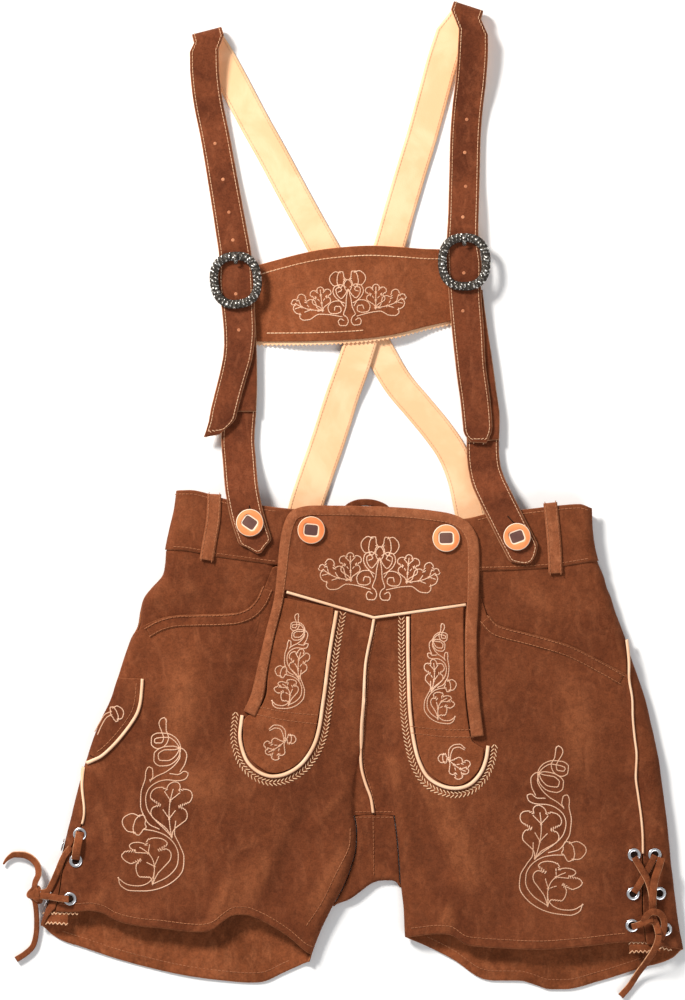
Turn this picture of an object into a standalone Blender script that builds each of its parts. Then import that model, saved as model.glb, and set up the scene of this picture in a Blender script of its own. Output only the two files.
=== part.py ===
"""Child's suede lederhosen with H-straps, laid flat and face up on a table.

Frame: +Z up, waist and straps towards +Y, -X to the left as one looks down on the garment with its waist
away from the viewer. The origin is the bottom centre of the garment. Tables are in millimetres; objects
are in metres. Names that end in _l or _r mean that same left or right.

The trousers are a tube of two layers. section() gives its outer surface across one half at one place
down the length: over the front, round the side fold and back along the table. Every panel is cut from
that surface between two seams, and everything sewn on a panel is made from the panel's own points.
"""
import math

import bpy
import numpy as np

MM = 0.001
SUEDE = 1.5            # thickness of one layer of suede
SEAM_GAP = 0.8         # between two faceted pieces sewn edge to edge round a fold
LAY_GAP = 0.4          # between a panel and what is sewn on it
WAIST_PLY = 2.3        # waistband, two layers
WAIST_RISE = 0.8       # the waistband stands this much proud of the panels
STRAP_PLY = 2.4        # suede strap with its light lining
STRAP_WIDTH = 22.5
BUTTON_WIDTH = 20.5
EYELET_WIDTH = 9.5
LACE_WIDTH = 4.8
PIPING_WIDTH = 2.2
CENTRE_X = 9.0         # centre seam at the waist
CROTCH_Y = -239.0      # top seam of the gusset

# Side outlines, a row for each height: y, left edge x, right edge x.
OUTLINE = [(10, -138, 171), (-10, -140.5, 172), (-25, -144, 172.5), (-40, -147, 174.5), (-52, -148, 178),
           (-60, -150, 181.5), (-69, -158, 184), (-76, -163.5, 187), (-86, -166.5, 190), (-99, -169, 195),
           (-106, -173, 197.5), (-115, -176.5, 200), (-138, -184, 208), (-153, -189, 213), (-170, -197, 217),
           (-198, -207, 223), (-213, -211.5, 225), (-243, -219, 229), (-273, -226.5, 232),
           (-299, -234, 235), (-322, -241.5, 238), (-340, -246, 241.5), (-380, -252, 246)]
# Fold of each leg towards the crotch: y, left leg x, right leg x.
INNER_FOLD = [(10, 5, 5), (-100, 5, 5), (-150, 3, 10), (-180, 0, 16), (-200, -3, 19), (-228, -6, 23),
              (-239, -6, 24.5), (-250, -4.5, 26), (-265, -5, 27.5), (-280, -9, 28.5), (-295, -15, 29.5),
              (-308, -22, 31), (-328, -31.5, 32), (-346, -38, 33.5), (-380, -46, 36)]
# Height of the upper layer: y, at the inner fold, over the leg, at the side, valley between the legs.
HEIGHTS = [(10, 15, 16, 14, 15), (-50, 15, 16, 14, 15), (-100, 14.5, 18, 13, 14.5), (-160, 13, 20, 12, 11.5),
           (-200, 11.5, 21, 12, 8), (-239, 11, 21, 12, 6), (-300, 11, 20, 12, 6), (-380, 11, 18, 11, 6)]
# How far each fold's curve reaches in: y, side fold, inner fold.
ROUNDING = [(10, 6, 40), (-60, 8, 40), (-100, 9, 40), (-160, 9, 30), (-200, 9, 16), (-239, 9, 7),
            (-380, 9, 7)]
# Distance of the side seam from the side fold, measured on top: y, left, right.
SIDE_SEAM = [(10, 0, 0), (-104, 0, 0), (-119, 0, 2), (-134, 0, 7), (-146, 0, 9), (-168, 0, 13.5),
             (-198, 0, 17), (-213, 2, 19.5), (-243, 10, 19.5), (-256, 8, 20), (-268, 5, 21),
             (-280, 4, 22), (-303, 7, 25), (-380, 12, 30)]
# Bow of the centre front seam: y, x.
CENTRE_SEAM = [(10, 9), (-91, 9), (-108, 6), (-123, 3), (-153, 1), (-183, -1), (-198, -1), (-217, 3),
               (-228, 7), (-239, 8.5)]
# Underside of the back: y, height above the table, where the strap ends are sewn under the waistband.
BACK_LIFT = [(10, 2.8), (-52, 2.8), (-64, 1.8), (-78, 0), (-380, 0)]

# Edges that run across, a row for each point: x, y.
WAIST_TOP = [(-146, 4), (-129, 4.5), (-114, 1.5), (-103, -2), (-75, -7), (-59, -9), (-20, -12),
             (30, -15), (75, -17), (95, -13), (118, -10.5), (148, -7), (163, -6), (170, -8), (176, -11)]
WAIST_SEAM = [(-150, -40.5), (-133, -41), (-112, -45), (-91, -48), (-59, -52), (9, -55), (88, -56),
              (137, -54), (151, -52.5), (177, -49), (180, -49)]
MOUTH_L = [(-180, -106), (-174, -105), (-166.5, -99), (-155, -93), (-144, -90), (-121, -88.5),
           (-103, -88), (-88, -86), (-80, -82), (-75, -74), (-70, -62), (-66, -52.5), (-59, -52)]
MOUTH_R = [(84, -56), (88, -72), (93, -88), (101, -96.5), (118, -101), (137, -106), (156, -112),
           (178, -123), (199, -134), (206, -138)]
FRONT_HEM_L = [(-240, -311), (-219, -312), (-204, -311), (-194, -313), (-185, -318), (-170, -322),
               (-151, -324), (-121, -327), (-112, -325), (-103, -318), (-95, -314), (-88, -314),
               (-76, -318), (-65, -324), (-54, -331.5), (-40, -343), (-30, -345)]
FRONT_HEM_R = [(30, -331.5), (43, -330), (56, -328.5), (66, -329), (70, -331), (77, -336), (88, -338),
               (103, -339), (133, -340), (163, -338), (201, -334.5), (241, -336)]
BACK_HEM_L = [(-246, -322), (-241, -323), (-234, -329), (-226, -334), (-211, -339), (-181, -349),
              (-136, -360), (-99, -365), (-84, -366), (-73, -365), (-59, -358.5), (-39, -350), (-30, -348)]
BACK_HEM_R = [(30, -330), (33, -332), (43, -336), (58, -343), (70, -349.5), (88, -362), (100, -364.5),
              (118, -364.5), (130, -367.5), (141, -371), (152, -371), (178, -365), (208, -355.5),
              (235, -346.5), (241, -341), (246, -340)]
# Hem of the back panels where they come round to the front.
WRAPPED_HEM = {"_l": [(-246, -323), (-241.5, -322.5), (-236, -315), (-231, -310), (-224, -308)],
               "_r": [(206, -335.5), (215, -336.5), (230, -338.5), (241.5, -340.5), (246, -341)]}
CROTCH = [(-22, -309), (-19, -307), (-9, -303), (0, -296.5), (6, -292), (12, -289.5), (21, -289),
          (26, -290.5), (30, -297)]

COLOURS = {
    "suede": ((0.21, 0.062, 0.024), 0.95, 0.0),
    "lining": ((0.93, 0.60, 0.33), 0.8, 0.0),
    "piping": ((0.95, 0.69, 0.42), 0.6, 0.0),
    "silver": ((0.42, 0.42, 0.43), 0.35, 1.0),
    "chrome": ((0.85, 0.85, 0.86), 0.15, 1.0),
    "horn": ((0.80, 0.26, 0.09), 0.35, 0.0),
}


# --- curves and meshes ------------------------------------------------------------------------------

def read_curve(rows, at, column=1):
    """Smooth value of a table's column at a place; its first column falls or rises all the way."""
    table = np.array(rows, float)
    if table[0, 0] > table[-1, 0]:
        table = table[::-1]
    xs, ys = table[:, 0], table[:, column]
    slopes = np.diff(ys) / np.diff(xs)
    tangents = np.concatenate(([slopes[0]], (slopes[1:] + slopes[:-1]) / 2, [slopes[-1]]))
    tangents[1:-1][slopes[1:] * slopes[:-1] <= 0] = 0
    at = np.clip(at, xs[0], xs[-1])
    i = np.clip(np.searchsorted(xs, at) - 1, 0, len(xs) - 2)
    step = xs[i + 1] - xs[i]
    t = (at - xs[i]) / step
    limit = 3 * np.abs(slopes[i])
    start = np.clip(tangents[i], -limit, limit) * step
    end = np.clip(tangents[i + 1], -limit, limit) * step
    return (ys[i] * (2 * t**3 - 3 * t**2 + 1) + ys[i + 1] * (3 * t**2 - 2 * t**3)
            + start * (t**3 - 2 * t**2 + t) + end * (t**3 - t**2))


def smooth_path(points, count):
    """Count points spread evenly along a smooth curve through the given points."""
    points = np.array(points, float)
    places = np.concatenate(([0], np.cumsum(np.linalg.norm(np.diff(points, axis=0), axis=1))))
    fine = np.linspace(0, places[-1], 20 * len(points))
    curve = np.stack([read_curve(np.stack([places, c], 1), fine) for c in points.T], 1)
    along = np.concatenate(([0], np.cumsum(np.linalg.norm(np.diff(curve, axis=0), axis=1))))
    even = np.linspace(0, along[-1], count)
    return np.stack([np.interp(even, along, c) for c in curve.T], 1)


def make_material(name):
    material = bpy.data.materials.new(name)
    material.use_nodes = True
    shader = material.node_tree.nodes["Principled BSDF"]
    colour, roughness, metallic = COLOURS[name]
    shader.inputs["Base Color"].default_value = (*colour, 1)
    shader.inputs["Roughness"].default_value = roughness
    shader.inputs["Metallic"].default_value = metallic
    return material


def add_object(name, points, faces, material):
    """A named mesh object from points in millimetres, with its faces turned outwards."""
    mesh = bpy.data.meshes.new(name)
    mesh.from_pydata([tuple(MM * c for c in p) for p in points], [], faces)
    mesh.update()
    mesh.materials.append(MATERIALS[material])
    piece = bpy.data.objects.new(name, mesh)
    bpy.context.collection.objects.link(piece)
    if signed_volume(mesh) < 0:
        mesh.flip_normals()
    return piece


def signed_volume(mesh):
    mesh.calc_loop_triangles()
    corners = np.array([[mesh.vertices[i].co[:] for i in t.vertices] for t in mesh.loop_triangles])
    return float(np.einsum("ij,ij->i", corners[:, 0], np.cross(corners[:, 1], corners[:, 2])).sum())


def grid_normals(grid):
    """Unit normals of a grid of points, from its neighbours along rows and columns."""
    down = np.gradient(grid, axis=0)
    across = np.gradient(grid, axis=1)
    normals = np.cross(across, down)
    return normals / np.maximum(np.linalg.norm(normals, axis=2, keepdims=True), 1e-9)


def add_wall(name, outer, inner, material):
    """A closed wall between two grids of points that match row by row."""
    rows, cols = outer.shape[:2]
    points = np.concatenate((outer.reshape(-1, 3), inner.reshape(-1, 3)))
    faces = []
    for layer in (0, 1):
        for r in range(rows - 1):
            for c in range(cols - 1):
                a = layer * rows * cols + r * cols + c
                quad = (a, a + 1, a + cols + 1, a + cols)
                faces.append(quad if layer else quad[::-1])
    rim = ([(0, c) for c in range(cols)] + [(r, cols - 1) for r in range(1, rows)]
           + [(rows - 1, c) for c in range(cols - 2, -1, -1)] + [(r, 0) for r in range(rows - 2, 0, -1)])
    for (r1, c1), (r2, c2) in zip(rim, rim[1:] + rim[:1]):
        a, b = r1 * cols + c1, r2 * cols + c2
        faces.append((a, b, b + rows * cols, a + rows * cols))
    return add_object(name, points, faces, material)


# --- the trousers' surface --------------------------------------------------------------------------

def half_column(side):
    return 1 if side < 0 else 2


def side_edge(side, y):
    return read_curve(OUTLINE, y, half_column(side))


def inner_fold(side, y):
    return read_curve(INNER_FOLD, y, half_column(side))


def round_off(distance, reach):
    """Quarter-ellipse: 0 at a fold, 1 from its reach inwards."""
    t = 1 - np.clip(distance / reach, 0, 1)
    return np.sqrt(np.maximum(1 - t * t, 0))


def upper(side, x, y):
    """Height of the front's outer surface."""
    fold, edge = inner_fold(side, y), side_edge(side, y)
    at_fold, over_leg, at_side, valley = (read_curve(HEIGHTS, y, c) for c in (1, 2, 3, 4))
    side_reach, fold_reach = read_curve(ROUNDING, y, 1), read_curve(ROUNDING, y, 2)
    s = np.clip((x - fold) / (edge - fold), 0, 1)
    crown = at_fold * (1 - s)**2 + 2 * over_leg * s * (1 - s) + at_side * s**2
    middle = side_middle(y)
    z = middle + (crown - middle) * round_off((edge - x) * side, side_reach)
    return valley + (z - valley) * round_off((x - fold) * side, fold_reach)


def side_middle(y):
    return (read_curve(HEIGHTS, y, 3) + read_curve(BACK_LIFT, y)) / 2


def lower(side, x, y):
    """Height of the back's outer surface, which lies on the table."""
    lift, middle = read_curve(BACK_LIFT, y), side_middle(y)
    z = middle - (middle - lift) * round_off((side_edge(side, y) - x) * side, read_curve(ROUNDING, y, 1))
    if y < CROTCH_Y - 0.5:
        valley = read_curve(HEIGHTS, y, 4)
        inner = round_off((x - inner_fold(side, y)) * side, read_curve(ROUNDING, y, 2))
        z = valley - (valley - z) * inner
    return z


def inner_end(side, y, upper_layer):
    """Where a half ends towards the middle: at the centre seam, or at the leg's fold under the crotch."""
    if y < CROTCH_Y - 0.5:
        return inner_fold(side, y)
    centre = read_curve(CENTRE_SEAM, y) if upper_layer else CENTRE_X
    return centre + side * SEAM_GAP / 2


def section(side, y, fine=60):
    """Outer surface across one half at one place down the length: over the front and under the back."""
    ease = (1 - np.cos(np.linspace(0, math.pi, fine))) / 2
    edge = side_edge(side, y)
    front_x = inner_end(side, y, True) + (edge - inner_end(side, y, True)) * ease
    back_x = inner_end(side, y, False) + (edge - inner_end(side, y, False)) * ease
    front = np.stack([front_x, upper(side, front_x, y)], 1)
    back = np.stack([back_x, lower(side, back_x, y)], 1)[::-1]
    return front, back


def lengths(line):
    return np.concatenate(([0], np.cumsum(np.linalg.norm(np.diff(line, axis=0), axis=1))))


def walk(side, line, places):
    """Rows of x, z and outward normal at places along a section."""
    along = lengths(line)
    tangent = np.gradient(line, along, axis=0)
    values = np.stack([line[:, 0], line[:, 1], -side * tangent[:, 1], side * tangent[:, 0]], 1)
    rows = np.stack([np.interp(places, along, c) for c in values.T], 1)
    rows[:, 2:] /= np.linalg.norm(rows[:, 2:], axis=1, keepdims=True)
    return rows


def seam_place(side, y, front):
    """How far along the front the side seam lies."""
    seam = side_edge(side, y) - side * read_curve(SIDE_SEAM, y, half_column(side))
    return np.interp(side * seam, side * front[:, 0], lengths(front))


def cut_front(side, y, stations):
    """The front panel's outer surface at one y, from the centre to the side seam."""
    front, _ = section(side, y)
    start = SEAM_GAP / 2 if y < CROTCH_Y - 0.5 else 0
    return walk(side, front, spread(start, seam_place(side, y, front) - SEAM_GAP / 2, stations))


def cut_back(side, y, stations):
    """The back panel's outer surface at one y, from the side seam round the fold to the centre."""
    front, back = section(side, y)
    ring = np.concatenate((front, back[1:]))
    finish = lengths(ring)[-1] - (SEAM_GAP / 2 if y < CROTCH_Y - 0.5 else 0)
    return walk(side, ring, spread(seam_place(side, y, front) + SEAM_GAP / 2, finish, stations))


def spread(start, end, stations):
    """Places along a length: stations are (distance from start), a share (0..1), or (distance from end)."""
    near, shares, far = stations
    inner = start + near[-1] + (end - far[0] - start - near[-1]) * np.array(shares)
    return np.concatenate((start + np.array(near), inner, end - np.array(far)))


FRONT_STATIONS = ((0, 1.6, 4, 7.5, 12), (0.17, 0.34, 0.51, 0.68, 0.85), (16, 12, 8.5, 5.5, 2.8, 1, 0))
BACK_STATIONS = ((0, 2, 5, 8, 11, 14.5, 18, 22), (0.15, 0.3, 0.5, 0.7, 0.85), (12, 7.5, 4, 1.6, 0))


def edge_height(cut, rows, guess, station, wrapped_rows=None):
    """The y at which one station of a cut meets an edge curve of y over x; where the piece is wrapped
    over to the other layer it may have a curve of its own."""
    y = guess
    for _ in range(40):
        x, _, _, up = cut(y)[station]
        y = 0.6 * y + 0.4 * read_curve(wrapped_rows if wrapped_rows and up > 0 else rows, x)
    return y


def panel_grid(side, cut, stations, top_rows, hem_rows, wrapped_hem=None):
    """A panel's outer points and normals, in rows from its top edge to the crotch and on to its hem."""
    def across(y):
        return cut(side, y, stations)
    columns = []
    for c in range(sum(len(part) for part in stations)):
        top = edge_height(across, top_rows, -60, c)
        hem = edge_height(across, hem_rows, -330, c, wrapped_hem)
        heights = [top + (CROTCH_Y - 0.1 - top) * share for share in np.linspace(0, 1, UPPER_ROWS)]
        heights += [CROTCH_Y - 0.9 + (hem - CROTCH_Y + 0.9) * share for share in np.linspace(0, 1, LOWER_ROWS)]
        columns.append([(across(y)[c], y) for y in heights])
    return split_rows(columns)


def split_rows(columns):
    """Grids of points and of normals from columns of section rows."""
    rows = list(zip(*columns))
    points = np.array([[(cut[0], y, cut[1]) for cut, y in row] for row in rows])
    normals = np.array([[(cut[2], 0, cut[3]) for cut, y in row] for row in rows])
    return points, normals


def add_panel(name, grids, thickness, material="suede", lift=0.0):
    """A wall of cloth whose outer surface is the grid moved out by lift."""
    points, normals = grids
    return add_wall(name, points + normals * lift, points + normals * (lift - thickness), material)


def on_front(x, y, lift):
    """A point at a place on the front's outer surface, moved out along its normal."""
    side = -1 if x < read_curve(CENTRE_SEAM, y) else 1
    near = 0.4
    slope_x = (upper(side, x + near, y) - upper(side, x - near, y)) / (2 * near)
    slope_y = (upper(side, x, y + near) - upper(side, x, y - near)) / (2 * near)
    normal = np.array((-slope_x, -slope_y, 1.0))
    return np.array((x, y, upper(side, x, y))) + lift * normal / np.linalg.norm(normal)


def lay_patch(name, left, right, cols, lift, thickness, material="suede"):
    """A flat piece sewn on the front, between two paths in plan that match point by point."""
    shares = np.linspace(0, 1, cols)
    plan = np.stack([left + (right - left) * s for s in shares], 1)
    lifts = np.broadcast_to(np.array(lift, float).reshape(-1, 1), plan.shape[:2])
    bottom = np.array([[on_front(*plan[r, c], lifts[r, c]) for c in range(cols)] for r in range(len(plan))])
    top = np.array([[on_front(*plan[r, c], lifts[r, c] + thickness) for c in range(cols)]
                    for r in range(len(plan))])
    return add_wall(name, top, bottom, material)


def side_step(path):
    """Unit directions to the left of a path in plan."""
    along = np.gradient(path[:, :2], axis=0)
    along /= np.linalg.norm(along, axis=1, keepdims=True)
    return np.stack([-along[:, 1], along[:, 0]], 1)


def lay_strip(name, points, count, width, lift, thickness, material="suede"):
    """A strip sewn on the front along a path in plan; points may have a third column for its width."""
    path = smooth_path(points, count)
    half = (path[:, 2:3] if path.shape[1] > 2 else np.full((count, 1), float(width))) / 2
    step = side_step(path)
    return lay_patch(name, path[:, :2] + step * half, path[:, :2] - step * half, 2, lift, thickness, material)


# --- trousers ---------------------------------------------------------------------------------------

UPPER_ROWS = 11         # rows of each panel above the crotch
LOWER_ROWS = 7          # and below it
FACING_DEPTH = 8.0      # how far the pocket facing reaches under the front
FACING_DROP = SUEDE + 0.6


def front_top(side):
    """Top edge of a front panel: the pocket mouth, then the waistband's seam under the flap."""
    seam = [(-59, -53), (9, -56.5), (84, -57.5)]
    return MOUTH_L[:-1] + seam[:2] if side < 0 else seam[1:] + MOUTH_R[1:]


def shifted(rows, down):
    return [(x, y - down) for x, y in rows]


def make_fronts_and_backs():
    for side, end in ((-1, "_l"), (1, "_r")):
        front_hem = FRONT_HEM_L if side < 0 else FRONT_HEM_R
        back_hem = BACK_HEM_L if side < 0 else BACK_HEM_R
        front = panel_grid(side, cut_front, FRONT_STATIONS, shifted(front_top(side), SEAM_GAP), front_hem)
        add_panel("front" + end, front, SUEDE)
        back = panel_grid(side, cut_back, BACK_STATIONS, shifted(WAIST_SEAM, SEAM_GAP), back_hem,
                          WRAPPED_HEM[end])
        add_panel("back" + end, back, SUEDE)


def band_grid(side, x_inner, top_rows, bottom_rows, count, rows):
    """Outer surface of a piece that runs from a place in plan out to the side fold, between two edges."""
    def across(y):
        front, _ = section(side, y)
        start = np.interp(side * x_inner, side * front[:, 0], lengths(front))
        length = seam_place(side, y, front) - SEAM_GAP / 2 - start
        return walk(side, front, start + length * np.sin(np.linspace(0, math.pi / 2, count)))
    columns = []
    for c in range(count):
        top, bottom = (edge_height(across, edge, -50, c) for edge in (top_rows, bottom_rows))
        columns.append([(across(y)[c], y) for y in np.linspace(top, bottom, rows)])
    return split_rows(columns)


def make_hips():
    for side, end, x_inner in ((-1, "_l", -62.0), (1, "_r", 86.0)):
        grids = band_grid(side, x_inner, shifted(WAIST_SEAM, SEAM_GAP),
                          shifted(front_top(side), FACING_DEPTH), 14, 6)
        add_panel("hip" + end, grids, SUEDE, lift=-FACING_DROP)


def make_waistbands():
    for side, end in ((-1, "_l"), (1, "_r")):
        grids = band_grid(side, CENTRE_X + side * SEAM_GAP, WAIST_TOP, WAIST_SEAM, 16, 4)
        add_panel("waistband" + end, grids, WAIST_PLY, lift=WAIST_RISE)
    columns = []
    for side in (-1, 1):
        def across(y):
            _, back = section(side, y)
            length = lengths(back)[-1] - SEAM_GAP / 2
            return walk(side, back, SEAM_GAP / 2 + length * (1 - np.cos(np.linspace(0, math.pi / 2, 12))))
        half = []
        for c in range(12):
            top, bottom = (edge_height(across, edge, -50, c) for edge in (shifted(WAIST_TOP, 3), WAIST_SEAM))
            half.append([(across(y)[c], y) for y in np.linspace(top, bottom, 4)])
        columns += half if side < 0 else half[-2::-1]
    add_panel("waistband_back", split_rows(columns), WAIST_PLY)


def make_gusset():
    """The gusset turns under at the crotch and comes back along the table."""
    height, reach = read_curve(HEIGHTS, -270, 4), 4.0
    top_y = CROTCH_Y - 1.6
    rows = []
    for u in np.linspace(0, 1, 9):
        def across(y):
            left, right = inner_fold(-1, y) + SEAM_GAP, inner_fold(1, y) - SEAM_GAP
            return left + (right - left) * u
        end = -295.0
        for _ in range(20):
            end = 0.5 * (end + read_curve(CROTCH, across(end)))
        column = [(across(y), y, height) for y in np.linspace(top_y, end + reach, 5)]
        for angle in np.linspace(0, math.pi, 9)[1:-1]:
            y = end + reach - reach * math.sin(angle)
            column.append((across(y), y, height / 2 * (1 + math.cos(angle))))
        column += [(across(y), y, 0.0) for y in np.linspace(end + reach, top_y, 5)]
        rows.append(column)
    grid = np.array(rows).transpose(1, 0, 2)
    normals = grid_normals(grid)
    if normals[1, 4, 2] < 0:
        normals = -normals
    add_wall("gusset", grid, grid - normals * SUEDE, "suede")


# --- pieces sewn on the front -----------------------------------------------------------------------

WELT_WIDTH = 8.5
WELT_PATHS = {
    "pocket_welt_l": [(-71, -70), (-75, -79), (-82, -87), (-92, -91.5), (-106, -93), (-125, -93.5),
                      (-142, -94.5), (-152, -97.5), (-160, -102)],
    "pocket_welt_r": [(92.2, -92.6), (99, -99.8), (108, -103.2), (117, -105.4), (136, -110.4), (154.3, -116.2),
                      (176, -127), (194.5, -137.4)],
}
# Flap edge: x, y, width of the folded band.
BINDING = [(-84.5, -163, 9.5), (-79, -151, 9.5), (-75, -132, 8), (-69, -104, 7), (-62.5, -78, 7),
           (-60, -59, 7), (-57.5, -36, 7.5), (-55, -22, 7.5), (-51, -13.5, 7), (-43, -10.5, 5.5),
           (-32, -9.6, 5), (0, -10, 5), (30, -11.2, 5), (52, -13.6, 5.5), (67, -16.5, 6),
           (77, -22, 8), (82.5, -33, 9), (83.5, -50, 9), (83, -78, 9), (81.5, -108, 9), (82.5, -145, 9.5),
           (86.5, -180, 9.5)]
YOKE_TOP = [(-52, -16.5), (-43, -14.2), (-32, -13.2), (0, -13.6), (30, -14.8), (52, -17.4), (66, -21),
            (77, -28)]
YOKE_SIDES = [(-18, -48.5, 75), (-30, -52.5, 77.5), (-48, -55.4, 78.6), (-70, -57.5, 78.4),
              (-82, -59, 78.2)]
YOKE_POINT = [(-62, -71), (-56, -72), (9, -91), (77, -81.5), (84, -80)]
STRIPE_PIPING = {
    "_l": [(-19, -86), (-24, -115), (-29, -153), (-34, -181), (-39, -192), (-47, -202), (-58, -208.5),
           (-67, -210), (-77, -207), (-85.5, -199.5), (-90, -189), (-91.5, -179), (-90.5, -170)],
    "_r": [(34.5, -90.3), (34.5, -115), (35, -138), (36, -161), (39, -184), (43, -199), (50, -211),
           (61, -217.5), (70, -219), (80, -216.5), (88.5, -208), (93, -197), (94.5, -187)],
}
# Stripe beside the flap's edge band: x, y down its outer side.
STRIPE_OUTER = {
    "_l": [(-58.5, -75), (-59, -80), (-65, -104), (-70.5, -132), (-71.5, -148), (-76, -161), (-81, -169.5),
           (-88.5, -175), (-88.8, -183), (-87, -191), (-82.5, -198), (-76, -203.5), (-71, -206.6)],
    "_r": [(76, -81.6), (76, -90), (76.2, -108), (77, -145), (79.5, -170), (83, -184), (88, -187.5),
           (91, -190), (90, -198), (86, -207), (80.5, -212.5), (76, -215.5), (73, -216.6)],
}
STRIPE_INNER = {
    "_l": [(-21.5, -82.6), (-22, -92), (-26, -115), (-29, -138), (-31, -153), (-34, -170), (-36, -180),
           (-39, -188), (-43, -194.5), (-49, -201), (-56, -205), (-62, -207), (-66, -207.6)],
    "_r": [(37, -87.1), (37, -95), (37, -115), (37.5, -145), (39.5, -168), (41, -181), (42.5, -190),
           (45, -198), (49, -205), (54, -210.5), (60, -214.3), (65, -216.2), (69, -216.9)],
}
SIDE_PIPING_ENDS = {"_l": (-207, -246), "_r": (-114, -268)}
KNIFE_EDGE = [(-164, -137), (-164, -145), (-166, -155), (-170, -164), (-178, -173), (-188, -186),
              (-196, -193.5), (-201, -196.5)]
LOOP_PATHS = {
    "belt_loop_l": [(-110.5, 1.5), (-111.5, -18), (-114, -33), (-116.5, -48)],
    "belt_loop_r": [(141, -5), (142.5, -20), (144, -36), (145, -58)],
}
LOOP_WIDTH = 10.5
LOOP_LIFT = WAIST_RISE + LAY_GAP
YOKE_LIFT = WAIST_RISE + 0.5
STRIPE_LIFT = 0.6
YOKE_INSET = 1.4         # from the inner side of the flap's edge band to the yoke
# Small tabs behind the laced slits: x, y down the left side, then down the right side.
TAB_PATHS = {
    "slit_tab_l": ([(-231, -296), (-233.5, -306), (-236.5, -321)], [(-214, -294), (-214, -304), (-214, -315)]),
    "slit_tab_r": ([(200, -306), (200.5, -325), (201, -343)], [(222, -306), (223, -323), (224, -342)]),
}


def yoke_point(x):
    """The yoke's lower edge: two straight runs that meet in a point."""
    return float(np.interp(x, *np.array(YOKE_POINT).T))


def make_flap():
    lay_strip("flap_binding", BINDING, 46, 8, YOKE_LIFT, 2.4)
    count = 9
    shares = np.linspace(0, 1, count)
    top, bottom = [], []
    for share in shares:
        for ends, rows, store in ((YOKE_SIDES[0], YOKE_TOP, top), (YOKE_SIDES[-1], YOKE_POINT, bottom)):
            x = ends[1] + YOKE_INSET + (ends[2] - ends[1] - 2 * YOKE_INSET) * share
            y = yoke_point(x) + PIPING_WIDTH / 2 + 0.8 if rows is YOKE_POINT else read_curve(rows, x) - 1.0
            store.append((x, y))
    top, bottom = np.array(top), np.array(bottom)
    plan = [top + (bottom - top) * r / 5 for r in range(6)]
    for row in plan[1:-1]:
        left = read_curve([r[:2] for r in YOKE_SIDES], row[0, 1]) + YOKE_INSET
        right = read_curve([(r[0], r[2]) for r in YOKE_SIDES], row[-1, 1]) - YOKE_INSET
        row[:, 0] = left + (right - left) * shares
    plan = np.array(plan)
    walls = [np.array([[on_front(*plan[r, c], lift) for c in range(count)] for r in range(6)])
             for lift in (YOKE_LIFT + 1.8, YOKE_LIFT)]
    add_wall("flap_yoke", *walls, "suede")
    v_line = [(x, yoke_point(x)) for x in (-54.5, -40, -25, -8, 6, 9, 12, 30, 45, 60, 75.5)]
    lay_strip("piping_v", v_line, 22, PIPING_WIDTH, STRIPE_LIFT, 2.4, "piping")


def make_stripes():
    for end in ("_l", "_r"):
        inner = smooth_path(STRIPE_INNER[end], 22)
        outer = smooth_path(STRIPE_OUTER[end], 22)
        gap = np.array((0, -PIPING_WIDTH / 2 - 0.6))
        inner[0] += gap
        outer[0] += gap
        lay_patch("stripe" + end, outer, inner, 6, STRIPE_LIFT, SUEDE)
        lay_strip("piping_stripe" + end, STRIPE_PIPING[end], 40, PIPING_WIDTH, STRIPE_LIFT, 2.0, "piping")


def make_pipings():
    centre = [(read_curve(CENTRE_SEAM, y), y) for y in np.linspace(-95, -237, 12)]
    lay_strip("piping_centre", centre, 26, PIPING_WIDTH, STRIPE_LIFT, 1.8, "piping")
    for side, end in ((-1, "_l"), (1, "_r")):
        first, last = SIDE_PIPING_ENDS[end]
        seam = [(side_edge(side, y) - side * read_curve(SIDE_SEAM, y, half_column(side)), y)
                for y in np.linspace(first, last, 10)]
        lay_strip("piping_side" + end, seam, 18, PIPING_WIDTH, STRIPE_LIFT, 1.8, "piping")


def make_knife_pocket():
    edge = smooth_path(KNIFE_EDGE, 14)
    inner = edge + side_step(edge) * -(PIPING_WIDTH / 2 + 0.4)
    outer = np.array([(side_edge(-1, y) + 1.4, y) for y in np.linspace(-136.5, -194, 14)])
    inner[-1] = outer[-1] + (2.0, -0.5)
    lay_patch("knife_pocket", outer, inner, 5, STRIPE_LIFT, SUEDE)
    lay_strip("knife_pocket_piping", KNIFE_EDGE, 20, PIPING_WIDTH, STRIPE_LIFT, 2.0, "piping")


def make_small_cloth():
    for name, path in WELT_PATHS.items():
        lay_strip(name, path, 18, WELT_WIDTH, STRIPE_LIFT, 1.2)
    for name, path in LOOP_PATHS.items():
        lay_strip(name, path, 8, LOOP_WIDTH, LOOP_LIFT, SUEDE)
    for name, (left, right) in TAB_PATHS.items():
        lay_patch(name, smooth_path(left, 6), smooth_path(right, 6), 5, -(SUEDE + 0.7 + 1.1), 1.1)


# --- straps, chest bar and metal --------------------------------------------------------------------

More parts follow.
